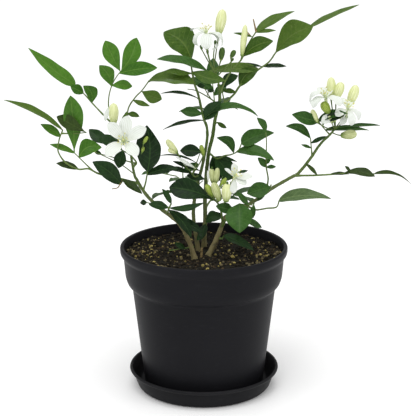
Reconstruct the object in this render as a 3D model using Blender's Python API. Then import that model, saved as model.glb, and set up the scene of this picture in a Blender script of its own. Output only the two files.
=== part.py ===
"""An orange jasmine shrub in a nursery pot that stands in a saucer.

Sizes are in millimetres and become metres in the meshes. +X is to the right of the front view,
+Y runs away from the viewer and +Z is up. The origin is the centre of the saucer's flat underside.
A heading is a pair of degrees: the bearing in the front view, counted from +X through +Z, and how
far the piece leans toward the viewer. A tilt is how far a blade turns its upper face from the
viewer, 0, to the sky, 90.
"""
import math
import random

import bpy
from mathutils import Vector
from mathutils.geometry import intersect_point_line

MM = 0.001
GAP = 0.3

SAUCER_RIM_RADIUS = 68.0
SAUCER_FOOT_RADIUS = 57.5
SAUCER_HEIGHT = 18.7
SAUCER_FLOOR = 3.0

POT_RIM_RADIUS = 75.0
POT_RIM_HEIGHT = 132.5
POT_LIP_DEPTH = 8.0
POT_COLLAR_RADIUS = 71.8
POT_LEDGE_HEIGHT = 104.0
POT_BODY_RADIUS = 64.7
POT_FOOT_RADIUS = 54.0
POT_WALL = 1.8
POT_FLOOR = 2.5
ROUND_SIDES = 36

SOIL_LEVEL = 124.5
SOIL_LUMP = 1.2

LIMB_SIDES = 8
TWIG_SIDES = 3
BUD_SIDES = 5
BUD_STATIONS = (0.0, 0.22, 0.6, 0.9, 1.0)
BUD_SHAPE = (0.42, 0.8, 1.0, 0.7, 0.2)
RACHIS_RADIUS = 0.62
STALK_RADIUS = 0.55
ROOT_DEPTH = 0.3
LEAF_THICKNESS = 0.7
THICKNESS_SHARE = 1 / 42
NARROWEST_HALF = 0.45
GOLDEN_ANGLE = 137.5
LEAD = 3.0
LARGE_LEAF, SMALL_LEAF = 28.0, 14.0
LARGE_STATIONS = (0.13, 0.38, 0.66, 0.89)
LEAF_STATIONS = (0.17, 0.5, 0.83)
SMALL_STATIONS = (0.25, 0.7)
PETAL_STATIONS = (0.25, 0.58, 0.86)
PETAL_FOLD = 12
PISTIL_LENGTH = 6.5
JITTER = random.Random(741)


def material(name, colour, roughness):
    mat = bpy.data.materials.new(name)
    mat.use_nodes = True
    shader = mat.node_tree.nodes["Principled BSDF"]
    shader.inputs["Base Color"].default_value = (*colour, 1.0)
    shader.inputs["Roughness"].default_value = roughness
    shader.inputs["Metallic"].default_value = 0.0
    mat.diffuse_color = (*colour, 1.0)
    return mat


def node(name, verts, faces, mat):
    """Puts one mesh, given in millimetres, into the scene as a named object."""
    mesh = bpy.data.meshes.new(name)
    mesh.from_pydata([Vector(v) * MM for v in verts], [], faces)
    mesh.materials.append(mat)
    obj = bpy.data.objects.new(name, mesh)
    bpy.context.scene.collection.objects.link(obj)
    return obj


def turned(name, profile, mat):
    """Turns a closed profile of (radius, height) pairs round +Z; a radius of 0 closes at the axis."""
    verts, rings, faces = [], [], []
    for radius, height in profile:
        if radius == 0:
            rings.append([len(verts)])
            verts.append((0, 0, height))
            continue
        rings.append(list(range(len(verts), len(verts) + ROUND_SIDES)))
        for k in range(ROUND_SIDES):
            angle = 2 * math.pi * k / ROUND_SIDES
            verts.append((radius * math.cos(angle), radius * math.sin(angle), height))
    for low, high in zip(rings, rings[1:]):
        for k in range(ROUND_SIDES):
            j = (k + 1) % ROUND_SIDES
            if len(low) == 1:
                faces.append((low[0], high[j], high[k]))
            elif len(high) == 1:
                faces.append((low[k], low[j], high[0]))
            else:
                faces.append((low[k], low[j], high[j], high[k]))
    obj = node(name, verts, faces, mat)
    obj.data.shade_smooth()
    obj.data.set_sharp_from_angle(angle=math.radians(40))
    return obj


def build_saucer(mat):
    rim, foot = SAUCER_RIM_RADIUS, SAUCER_FOOT_RADIUS
    bowl = rim - 4.0
    profile = [(0, 0), (foot, 0), (foot + 2.8, 1.6), (bowl - 1.2, 8), (bowl, SAUCER_HEIGHT - 4),
               (rim - 0.8, SAUCER_HEIGHT - 3), (rim, SAUCER_HEIGHT - 1.6), (rim - 0.9, SAUCER_HEIGHT),
               (rim - 2.6, SAUCER_HEIGHT - 0.4), (bowl - 3.2, 8), (foot + 0.4, SAUCER_FLOOR),
               (0, SAUCER_FLOOR)]
    return turned("saucer", profile, mat)


def pot_inner_radius(height):
    """The inner wall tapers evenly from the foot to the ledge, and from there to the lip."""
    foot = SAUCER_FLOOR + GAP + POT_FLOOR
    low, high = POT_FOOT_RADIUS - POT_WALL, POT_BODY_RADIUS - POT_WALL
    ledge = POT_LEDGE_HEIGHT - 6
    if height <= ledge:
        return low + (high - low) * (height - foot) / (ledge - foot)
    top = POT_RIM_HEIGHT - POT_LIP_DEPTH
    step = min(1, (height - ledge) / 6)
    collar = POT_COLLAR_RADIUS - POT_WALL - 1.2
    return high + (collar - high) * step + 1.2 * max(0, height - ledge - 6) / (top - ledge - 6)


def build_pot(mat):
    foot = SAUCER_FLOOR + GAP
    inside = foot + POT_FLOOR
    lip = POT_RIM_HEIGHT - POT_LIP_DEPTH
    ledge = POT_LEDGE_HEIGHT
    outer = [(0, foot), (POT_FOOT_RADIUS - 1, foot), (POT_FOOT_RADIUS, foot + 1),
             (POT_BODY_RADIUS - 0.6, ledge - 13), (POT_BODY_RADIUS, ledge - 9),
             (POT_COLLAR_RADIUS - 3.4, ledge - 5.5), (POT_COLLAR_RADIUS - 1.4, ledge),
             (POT_COLLAR_RADIUS, lip - 4), (POT_COLLAR_RADIUS + 0.3, lip - 2),
             (POT_RIM_RADIUS - 0.4, lip + 1.5), (POT_RIM_RADIUS, lip + 3.5),
             (POT_RIM_RADIUS, POT_RIM_HEIGHT - 1.2), (POT_RIM_RADIUS - 1.1, POT_RIM_HEIGHT)]
    inner = [(pot_inner_radius(lip) + 1.6, POT_RIM_HEIGHT - 0.6), (pot_inner_radius(lip), lip),
             (pot_inner_radius(ledge), ledge), (pot_inner_radius(ledge - 6), ledge - 6),
             (pot_inner_radius(inside), inside), (0, inside)]
    return turned("pot", outer + inner, mat)


def build_soil(mat):
    """The root ball's soil fills the pot; its top is level round the stems and lumpy further out."""
    foot = SAUCER_FLOOR + GAP + POT_FLOOR + GAP
    ledge = POT_LEDGE_HEIGHT
    clear = GAP + 0.25
    profile = [(0, foot)]
    for height in (foot, ledge - 6.4, ledge + 0.4, SOIL_LEVEL - 1.5):
        profile.append((pot_inner_radius(height) - clear, height))
    profile += [(67, SOIL_LEVEL), (57, SOIL_LEVEL), (42, SOIL_LEVEL), (0, SOIL_LEVEL)]
    soil = turned("soil", profile, mat)
    lumps = random.Random(5)
    for vert in soil.data.vertices:
        spread = vert.co.xy.length / MM
        if vert.co.z > (SOIL_LEVEL - 0.1) * MM and spread > 45:
            vert.co.z += lumps.uniform(-SOIL_LUMP, SOIL_LUMP) * MM
    return soil


def smooth_path(points, step=6.0):
    """A Catmull-Rom curve through the points, read about every step millimetres."""
    pts = [Vector(p) for p in points]
    ends = [2 * pts[0] - pts[1], *pts, 2 * pts[-1] - pts[-2]]
    path = []
    for a, b, c, d in zip(ends, ends[1:], ends[2:], ends[3:]):
        count = max(1, round((c - b).length / step))
        for k in range(count):
            t = k / count
            path.append(0.5 * (2 * b + (c - a) * t + (2 * a - 5 * b + 4 * c - d) * t * t
                               + (3 * b - a - 3 * c + d) * t * t * t))
    return [*path, pts[-1]]


def along_path(path, at):
    """The point and direction at a share of a path's length."""
    lengths = [(q - p).length for p, q in zip(path, path[1:])]
    left = at * sum(lengths)
    for k, length in enumerate(lengths):
        if left <= length or k == len(lengths) - 1:
            return path[k].lerp(path[k + 1], min(1, left / length)), (path[k + 1] - path[k]).normalized()
        left -= length


def tube(path, radii, sides, flat_foot=False):
    """A closed tapering tube along a path; a flat foot is cut level with the ground."""
    verts, faces = [], []
    count = len(path)
    axis = (path[1] - path[0]).normalized()
    side = axis.orthogonal().normalized()
    for k, point in enumerate(path):
        ahead = (path[min(k + 1, count - 1)] - path[max(k - 1, 0)]).normalized()
        side = (side - ahead * side.dot(ahead)).normalized()
        across = ahead.cross(side)
        radius = radii(k / (count - 1))
        for s in range(sides):
            angle = 2 * math.pi * s / sides
            reach = side * (radius * math.cos(angle)) + across * (radius * math.sin(angle))
            if flat_foot and k == 0:
                reach -= ahead * (reach.z / ahead.z)
            verts.append(point + reach)
    for k in range(count - 1):
        for s in range(sides):
            low, high, nxt = k * sides, (k + 1) * sides, (s + 1) % sides
            faces.append((low + s, low + nxt, high + nxt, high + s))
    faces.append(tuple(reversed(range(sides))))
    faces.append(tuple(range((count - 1) * sides, count * sides)))
    return verts, faces


def taper(start, end):
    return lambda t: start + (end - start) * t


def flared(start, end):
    """A stem's taper with a slight swelling at the ground."""
    return lambda t: start + (end - start) * t + 0.35 * start * max(0, 1 - t / 0.12) ** 2


def heading(bear, toward):
    """The direction of a bearing in the front view that leans toward the viewer."""
    b, w = math.radians(bear), math.radians(toward)
    return Vector((math.cos(b) * math.cos(w), -math.sin(w), math.sin(b) * math.cos(w)))


def face_of(along, tilt):
    """The direction that a blade's upper face looks in."""
    front = Vector((0, -1, 0)) - along * -along.y
    front = front.normalized() if front.length > 0.05 else Vector((0, 0, 1))
    side = front.cross(along)
    side = -side if side.z < 0 else side
    turn = math.radians(tilt)
    return (front * math.cos(turn) + side * math.sin(turn)).normalized()


def outline(t, peak, fullness):
    """Half of a blade's width, as a share of the widest: a sine whose peak is moved along the blade."""
    return math.sin(math.pi * t ** (math.log(0.5) / math.log(peak))) ** fullness


def blade(base, chord, face, length, width, bend, fold, stations, peak=0.5, sway=0.0, fullness=0.85):
    """A closed thin blade along a chord: the midrib bows up off it by the bend and aside by the sway,
    and both halves of the blade fold up along the midrib."""
    def frame(t):
        rise = math.radians(bend * (0.5 - t))
        return (chord * math.cos(rise) + face * math.sin(rise),
                face * math.cos(rise) - chord * math.sin(rise))

    rib = max(LEAF_THICKNESS, length * THICKNESS_SHARE)
    lift, spread = math.sin(math.radians(fold)), math.cos(math.radians(fold))
    aside = face.cross(chord) * (sway * length)
    verts, faces = [], []
    run, last = base - chord * ROOT_DEPTH, 0.0
    for t in (0.0, *stations):
        run = run + frame((t + last) / 2)[0] * (length * (t - last))
        point = run + aside * math.sin(math.pi * t)
        ahead, normal = frame(t)
        across = normal.cross(ahead) * spread
        last = t
        half = max(NARROWEST_HALF, 0.5 * width * outline(t, peak, fullness) if t else 0)
        up, thick = normal * (half * lift), normal * (0.5 * rib)
        verts += [point + across * half + up, point + thick, point - across * half + up, point - thick]
    verts.append(run + frame((1 + last) / 2)[0] * (length * (1 - last)))
    rings = len(stations) + 1
    for k in range(rings - 1):
        for s in range(4):
            low, high, nxt = 4 * k, 4 * (k + 1), (s + 1) % 4
            faces.append((low + s, low + nxt, high + nxt, high + s))
    faces.append((3, 2, 1, 0))
    top = 4 * (rings - 1)
    faces += [(top + s, top + (s + 1) % 4, top + 4) for s in range(4)]
    return verts, faces


def bud(base, along, length, width):
    """A closed bud: a slim tube that swells to a blunt head."""
    path = [base + along * (length * t) for t in BUD_STATIONS]
    last = len(BUD_SHAPE) - 1
    return tube(path, lambda t: 0.5 * width * BUD_SHAPE[round(t * last)], BUD_SIDES)


def flower(base, axis, neck, petals):
    """Petals that leave a slim tube round a short pistil, each with its heading, length, width and curl."""
    throat = base + axis * neck
    neck_path = [base - axis * ROOT_DEPTH, base.lerp(throat, 0.6), throat + axis]
    parts = [tube(neck_path, taper(0.9, 1.5), BUD_SIDES),
             tube([throat, throat + axis * PISTIL_LENGTH], taper(0.9, 0.5), TWIG_SIDES)]
    for bear, toward, length, width, curl in petals:
        petal = heading(bear, toward)
        face = (axis - petal * axis.dot(petal)).normalized()
        parts.append(blade(throat - petal * 0.8, petal, face, length, width, curl, PETAL_FOLD,
                           PETAL_STATIONS, peak=0.6, fullness=0.6))
    return parts


class Spray:
    """One mass: a stem, the pinnate leaves on it, and its blossom, fused into one solid."""

    def __init__(self, name, limbs, seat, points, thick, mat):
        self.name, self.mat, self.limbs = name, mat, limbs
        limb, at = seat
        foot, grown = along_path(limbs[limb]["path"], at)
        out = (Vector(points[0]) - foot).normalized()
        if at < 1:
            slant = abs(out.dot(grown))
            reach = limbs[limb]["radii"](at) + GAP + thick[0] * slant
            points = [foot + out * (reach / max(0.3, math.sqrt(1 - slant * slant))), *points]
        else:
            points = [foot + grown * GAP, foot + grown * (GAP + LEAD), *points]
        self.path = smooth_path(points)
        self.parts = [tube(self.path, taper(*thick), TWIG_SIDES)]

    def clear_of_limbs(self, verts):
        """True when no corner of a piece lies in or against a stem or bough."""
        for limb in self.limbs.values():
            legs = len(limb["path"]) - 1
            for k in range(legs):
                start, end = limb["path"][k], limb["path"][k + 1]
                keep = limb["radii"](k / legs) + 0.5
                for vert in verts:
                    foot, share = intersect_point_line(vert, start, end)
                    if 0 <= share <= 1 and (vert - foot).length < keep:
                        return False
        return True

    def leaf(self, base, bear, length, width, tilt, toward=0, bend=24, peak=0.5, sway=0.0):
        along = heading(bear, toward)
        fold = JITTER.uniform(12, 20)
        stations = LARGE_STATIONS if length > LARGE_LEAF else LEAF_STATIONS
        stations = SMALL_STATIONS if length < SMALL_LEAF else stations
        piece = blade(base, along, face_of(along, tilt), length, width, bend, fold, stations, peak, sway)
        if self.clear_of_limbs(piece[0][8:]):
            self.parts.append(piece)

    def leaves(self, *plans):
        """Leaves straight on the stem: each is where on it, then its bearing, size and turn."""
        for at, *plan in plans:
            self.leaf(along_path(self.path, at)[0], *plan)

    def pinnate(self, at, bear, toward, length, sweep, leaflets):
        """A compound leaf: its rachis leaves the stem, turns by the sweep and carries leaflets."""
        point = along_path(self.path, at)[0]
        rachis = [point]
        steps = max(2, round(length / 5))
        for k in range(steps):
            point = point + heading(bear + sweep * (k + 0.5) / steps, toward) * (length / steps)
            rachis.append(point)
        self.parts.append(tube(rachis, taper(RACHIS_RADIUS, 0.8 * RACHIS_RADIUS), TWIG_SIDES))
        for share, *plan in leaflets:
            self.leaf(along_path(rachis, share)[0], *plan)

    def stalk(self, at, head):
        foot = along_path(self.path, at)[0]
        head = Vector(head)
        bow = foot.lerp(head, 0.5) + Vector((0, 0, -0.06 * (head - foot).length))
        path = smooth_path([foot, bow, head])
        self.parts.append(tube(path, taper(STALK_RADIUS, 0.9 * STALK_RADIUS), TWIG_SIDES))
        return head

    def bud(self, at, head, bear, toward, length, width):
        base = self.stalk(at, head)
        self.parts.append(bud(base, heading(bear, toward), length, width))

    def flower(self, at, head, bear, toward, neck, petals):
        base = self.stalk(at, head)
        self.parts += flower(base, heading(bear, toward), neck, petals)

    def grow(self, seed, pairs, leaflet, rise, space):
        """Compound leaves round the stem by the golden angle, each kept only inside the space."""
        rng = random.Random(seed)
        low, high = Vector(space[0]), Vector(space[1])
        for k in range(pairs):
            at = 0.25 + 0.75 * k / (pairs - 1)
            point, ahead = along_path(self.path, at)
            side = ahead.orthogonal().normalized()
            angle = math.radians(GOLDEN_ANGLE * k + rng.uniform(-15, 15))
            out = side * math.cos(angle) + ahead.cross(side) * math.sin(angle)
            out = (out + ahead * 0.9 + Vector((0, 0, rise))).normalized()
            end = point + out * leaflet * 0.9
            self.parts.append(tube([point, point.lerp(end, 0.5), end], taper(0.6, 0.5), TWIG_SIDES))
            flat = Vector((0, 0, 1)) - out * out.z
            flat = flat.normalized()
            across = out.cross(flat)
            for m, (share, turn) in enumerate(((0.45, 58), (0.7, -56), (1.0, 6))):
                turn = math.radians(turn + rng.uniform(-8, 8))
                along = out * math.cos(turn) + across * math.sin(turn)
                size = leaflet * (0.72 + 0.22 * m) * rng.uniform(0.9, 1.1)
                face = (flat - along * flat.dot(along)).normalized()
                piece = blade(point.lerp(end, share), along, face, size, 0.46 * size,
                              rng.uniform(15, 40), 15, LEAF_STATIONS)
                inside = all(low[i] <= v[i] <= high[i] for v in piece[0] for i in range(3))
                if inside and self.clear_of_limbs(piece[0][8:]):
                    self.parts.append(piece)

    def finish(self):
        """One Boolean union on a collection fuses the pieces."""
        pieces = [node(f"{self.name}_{k}", *part, self.mat) for k, part in enumerate(self.parts)]
        stem = pieces.pop(0)
        stem.name = self.name
        rest = bpy.data.collections.new(self.name)
        bpy.context.scene.collection.children.link(rest)
        for piece in pieces:
            bpy.context.scene.collection.objects.unlink(piece)
            rest.objects.link(piece)
        join = stem.modifiers.new("join", "BOOLEAN")
        join.operation, join.solver, join.operand_type = "UNION", "EXACT", "COLLECTION"
        join.collection = rest
        fused = bpy.data.meshes.new_from_object(stem.evaluated_get(bpy.context.evaluated_depsgraph_get()))
        stem.modifiers.clear()
        stem.data = fused
        for piece in pieces:
            bpy.data.objects.remove(piece, do_unlink=True)
        bpy.data.collections.remove(rest)
        return stem


def build_limb(limbs, name, points, radii, mat, after=None):
    """A stem or bough: one tapering limb, cut level at the ground or set just past another's tip."""
    if after:
        tip, grown = along_path(limbs[after]["path"], 1)
        points = [tip + grown * GAP, tip + grown * (GAP + LEAD), *points]
    path = smooth_path(points, step=7)
    verts, faces = tube(path, radii, LIMB_SIDES, flat_foot=not after)
    limbs[name] = {"path": path, "radii": radii}
    limb = node(name, verts, faces, mat)
    limb.data.shade_smooth()
    return limb


def build_limbs(bark, green):
    limbs = {}
    ground = SOIL_LEVEL + GAP
    build_limb(limbs, "left_stem", [(-8, -18, ground), (-11, -18, 135), (-15, -19, 146), (-21, -20, 157),
                                    (-29, -21, 165), (-39, -22, 173), (-47, -23, 181), (-54, -24, 191),
                                    (-58, -25, 199)], flared(2.2, 1.3), bark)
    build_limb(limbs, "right_stem", [(4, -8, ground), (9, -8, 135), (14, -9, 147), (18, -10, 158)],
               flared(2.5, 1.9), bark)
    build_limb(limbs, "mid_stem_left", [(-5, 8, ground), (-9, 9, 151), (-9, 9, 166), (-6, 10, 184),
                                        (-2, 10, 200), (2, 8, 220), (3, 7, 236), (0, 6, 246),
                                        (-2, 5, 255), (-5, 5, 268), (-8, 4, 277), (-10, 3, 288)],
               flared(1.8, 0.9), green)
    build_limb(limbs, "mid_stem_right", [(0, 15, ground), (1, 16, 150), (1, 17, 166), (2, 17, 188),
                                         (4, 17, 211), (8, 16, 229), (10, 15, 244), (14, 14, 261),
                                         (13, 13, 275)], flared(2.1, 1.3), green)
    build_limb(limbs, "left_bough", [(-62, -19, 212), (-64, -14, 222), (-69, -10, 233), (-76, -9, 241)],
               taper(1.2, 0.8), green, after="left_stem")
    build_limb(limbs, "right_bough", [(34, -4, 168), (46, 2, 173), (62, 5, 184), (81, 6, 195)],
               taper(1.7, 1.4), green, after="right_stem")
    build_limb(limbs, "right_upper_bough", [(94, 8, 209), (103, 10, 222), (110, 11, 229)],
               taper(1.4, 1.1), green, after="right_bough")
    return limbs


def build_left_sprays(limbs, mat):
    spray = Spray("left_long", limbs, ("left_stem", 0.95),
                  [(-72, -31, 201), (-89, -35, 206), (-98, -37, 211), (-107, -38, 211), (-117, -40, 217),
                   (-123, -41, 227), (-122, -40, 237), (-119, -39, 245)], (1.0, 0.55), mat)
    spray.pinnate(0.12, 235, 25, 5, 0, [(1, 138, 33, 15, 25, 8, 50, 0.5, -0.04)])
    spray.pinnate(0.42, 133, 5, 22, 0, [(0.74, 21, 22, 15, 25, -20, 24, 0.5, 0.22), (0.97, 160, 23, 7, 50),
                                        (1, 91, 52, 18.5, 15, 10, 10, 0.66, -0.01)])
    spray.pinnate(0.97, 0, 14, 22, 10, [(1, 148, 29, 12.5, 25, 12, 20, 0.65)])
    spray.leaves((0.14, -32, 23, 8, 45, 20, 20, 0.5, -0.03), (0.55, 165, 20, 8, 50),
                 (0.94, 147, 20, 8, 35, 0, -8, 0.45, -0.05), (1, 151, 56, 9.5, 66, 5, 12, 0.45, -0.06))
    spray.finish()

    spray = Spray("left_crown", limbs, ("left_bough", 1),
                  [(-89, -7, 254), (-98, -3, 263), (-103, 0, 268), (-112, 4, 276)], (0.85, 0.5), mat)
    spray.pinnate(0.04, 118, -6, 51, -72, [(0.68, 115, 24, 12.5, 20, 20, 20, 0.6, -0.1),
                                           (0.7, -5, 19, 9, 25, -20, 20, 0.55, 0.04),
                                           (0.94, 11, 36, 13, 25, 16, 12, 0.55, 0.03),
                                           (0.98, 116, 30, 15, 10, -6, 20, 0.62, 0.02),
                                           (1, 64, 32, 16, 12, -14, 20, 0.58, -0.09)])
    spray.leaves((0.58, 114, 17.5, 12, 30, 10, 30, 0.5, -0.19), (0.8, 150, 13, 9.5, 30, 6),
                 (1, 139, 52, 14, 40, 8, 4, 0.35, 0.03))
    spray.finish()

    spray = Spray("left_arch", limbs, ("left_bough", 0.6),
                  [(-66, -2, 240), (-66, 1, 255), (-60, 3, 265), (-54, 5, 271), (-48, 6, 279)],
                  (0.8, 0.5), mat)
    spray.leaves((0.46, 235, 11, 4, 50, 20, 24, 0.5, 0.11), (0.42, -14, 11, 6, 40),
                 (0.64, -18, 16, 5.5, 40, 10, 14, 0.5, -0.06),
                 (0.82, -20, 20, 12, 20, 12, 20, 0.62, -0.06), (1, -1, 45, 20, 62, 16, 60),
                 (0.97, 24, 24, 4, 50, -16))
    spray.finish()

    spray = Spray("left_bloom", limbs, ("left_bough", 0.22),
                  [(-58, -23, 213), (-61, -25, 218), (-64, -26, 222)], (0.85, 0.6), mat)
    spray.pinnate(0.2, 168, -14, 32, 0, [(1, 158, 7, 4, 30)])
    spray.pinnate(0.9, 150, 0, 20, 0, [(0.4, 150, 24, 13, 45, -8), (1, 150, 23, 11.5, 35, -20, 24, 0.5, 0.09),
                                       (0.35, 255, 16, 11.5, 15, 10)])
    spray.flower(1.0, (-67, -23, 228.5), 98, 60, 9, [(82, 4, 25, 11.5, 30), (36, 20, 27, 11.5, 34),
                                                     (125, 20, 25.5, 11, 30), (209, 43, 25, 12, 40),
                                                     (326, 46, 23, 11.5, 44)])
    spray.bud(0.95, (-77, -23, 247), 89, 0, 18, 8.4)
    spray.finish()

    spray = Spray("left_inner", limbs, ("left_stem", 0.87), [(-50, -28, 197), (-48, -32, 208)],
                  (0.75, 0.6), mat)
    spray.leaves((0.98, 90, 41, 24, 15, 2, 15, 0.5, -0.06), (0.8, 14, 29, 9.5, 45, 10, 25, 0.45, 0.03))
    spray.finish()

    spray = Spray("left_low", limbs, ("left_stem", 0.55), [(-31, -29, 171), (-30, -33, 175), (-28, -32, 179)],
                  (0.9, 0.7), mat)
    spray.leaves((0.75, 168, 18.5, 9, 45, 6, 24, 0.55), (1, 120, 16, 6, 35, 4, 20),
                 (0.75, 12, 32, 6.5, 40, 12, -10, 0.5, -0.08), (0.55, -50, 31.5, 11, 35, 8, 24, 0.5, 0.09))
    spray.pinnate(0.75, 166, 0, 20, 0, [(1, 182, 6, 5.5, 35, 8)])
    spray.finish()


def build_middle_sprays(limbs, mat):
    spray = Spray("top_left", limbs, ("mid_stem_left", 1), [(-11, 8, 297)], (0.8, 0.6), mat)
    spray.leaves((1, 135.5, 35.5, 26.5, 25, -16, 30, 0.55, -0.15))
    spray.finish()

    spray = Spray("centre_left", limbs, ("mid_stem_left", 0.9), [(-9, 0, 280), (-10, -3, 288.5)],
                  (0.7, 0.5), mat)
    spray.leaves((1, -13, 30, 12, 35, 10, 16, 0.5, -0.07), (0.9, 174, 23, 6, 50, 8, 10, 0.5, 0.05))
    spray.finish()

    spray = Spray("centre_thin", limbs, ("mid_stem_left", 0.845), [(-5, 2, 264.6)], (0.6, 0.5), mat)
    spray.leaves((1, 172, 34, 4.7, 65, 4, 34, 0.5, -0.04))
    spray.finish()

    spray = Spray("centre_arch", limbs, ("mid_stem_left", 0.74), [(1, 0, 245), (0, -3, 247), (-1, -4, 252)],
                  (0.8, 0.7), mat)
    spray.leaves((0.6, 4, 54, 13, 75, 6, 96))
    spray.leaves((1, 171, 20, 9.5, 30, 6, 20, 0.55))
    spray.leaves((0.45, 192, 38.5, 6, 68, 6, 30), (0.62, 48, 24, 13, 25, 14, 20))
    spray.finish()

    spray = Spray("top_bloom", limbs, ("mid_stem_right", 1), [(10, 11, 285), (7, 9, 292)], (0.9, 0.7), mat)
    spray.pinnate(0.55, 145, 48, 11, 15, [(1, 165.5, 47, 14.5, 66, 6, 36)])
    spray.flower(1, (2.8, 1.5, 307.7), 92, 12, 12, [(235, 10, 23, 8, 215), (168, -45, 22, 8, 90),
                                                    (270, 50, 22, 11, 150), (325, 0, 23, 9, 155),
                                                    (290, -10, 24, 8, 200)])
    spray.bud(0.8, (12.6, 10, 319), 80, 0, 22, 9.2)
    spray.bud(0.5, (15, 8, 297.5), 83, 0, 11, 5.5)
    spray.finish()

    spray = Spray("top_middle", limbs, ("mid_stem_right", 0.95),
                  [(20, 14, 280), (27, 14, 291), (33, 14, 297), (38, 14, 309), (45.5, 13, 321.5)],
                  (0.8, 0.55), mat)
    spray.leaves((1, 25, 40.5, 10, 45, -20, 14, 0.38, 0.03), (0.98, 7, 18.5, 4.5, 45, 10, 14),
                 (0.9, 167, 18, 3.5, 45, 10, 10), (0.56, 31, 33, 14.5, 30, 20, 24, 0.58, 0.08))
    spray.bud(0.5, (33.2, 11, 300.5), 84, 0, 27, 5.6)
    spray.bud(0.3, (23.6, 7, 299.7), 61, 0, 7.2, 4.5)
    spray.finish()

    spray = Spray("stem_leaf", limbs, ("mid_stem_right", 0.76), [(12, 11.5, 241.5)], (0.6, 0.5), mat)
    spray.leaves((1, -31, 10, 4.7, 35, 10, 14, 0.5, -0.05))
    spray.finish()

    spray = Spray("top_right", limbs, ("mid_stem_right", 0.86),
                  [(20, 19, 259), (27, 22, 265), (33, 24, 273), (48, 30, 285), (58, 33, 292), (66, 36, 302),
                   (80, 42, 311), (91, 45, 319)], (1.1, 0.5), mat)
    spray.leaves((0.18, 172, 13.5, 5.5, 40, 10, 20), (0.24, 41, 22, 13.5, 20, -10, 20, 0.5, 0.17),
                 (0.66, 37, 41.5, 25, 35, 6, 16, 0.6, 0.11))
    spray.leaves((0.46, 180.5, 46, 11, 35, 10, 14, 0.42, -0.02), (1, 25, 52.5, 8, 60, 0, 6, 0.45, 0.02))
    spray.leaves((0.5, 0, 22, 6, 55, -6, 14), (0.5, 175, 26, 4.5, 55, 0, 14))
    spray.pinnate(0.05, 110, 0, 13, -20, [(1, 40, 18.5, 10.5, 25, 6, 20, 0.55, 0.14)])
    spray.finish()

    spray = Spray("middle_right", limbs, ("mid_stem_right", 0.58),
                  [(12, 10, 209), (18, 4, 213), (24, 0, 215), (30, -3, 219), (33, -3, 225.6)],
                  (0.85, 0.5), mat)
    spray.leaves((0.7, 136, 21.5, 9, 25, 5, 30, 0.5, -0.22), (0.79, -10, 36, 12.5, 50, 18, 50, 0.4, 0.06),
                 (1, 14, 32.5, 14.5, 30, -20, 24, 0.3, 0.05), (0.17, -50, 25, 17, 25, 10),
                 (0.08, -78, 24, 14, 20, 10))
    spray.leaves((0.13, -8, 22, 4, 40, 20))
    spray.finish()

    spray = Spray("low_middle", limbs, ("mid_stem_right", 0.13), [(1, 12, 147), (2, 10, 150.5)],
                  (0.8, 0.7), mat)
    spray.leaves((1, 16, 15, 11, 30, 0, 24, 0.5, 0.22), (0.5, 255, 16, 9, 35, 42))
    spray.pinnate(0.3, 265, 42, 8, 0, [(1, 219, 10.5, 6, 35, 30)])
    spray.finish()

    spray = Spray("middle_left", limbs, ("mid_stem_left", 0.42), [(-8, 4, 194), (-10, 1, 197)],
                  (0.9, 0.7), mat)
    spray.leaves((1, 169, 30, 7.5, 65, 8, 20, 0.5, -0.04))
    spray.pinnate(1, 71, 5, 22, 0, [(0.5, 168, 35, 3.7, 70, 4, 40, 0.5, -0.03), (1, 177, 18.5, 12, 30)])
    spray.bud(1, (-23.5, -2, 217.5), 129, 0, 14.3, 5.8)
    spray.bud(1, (-23.5, -2, 217), 159, 0, 8.5, 4.5)
    spray.bud(1, (-0.3, 2, 213.5), 103, 0, 10, 4.4)
    spray.finish()


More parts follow.
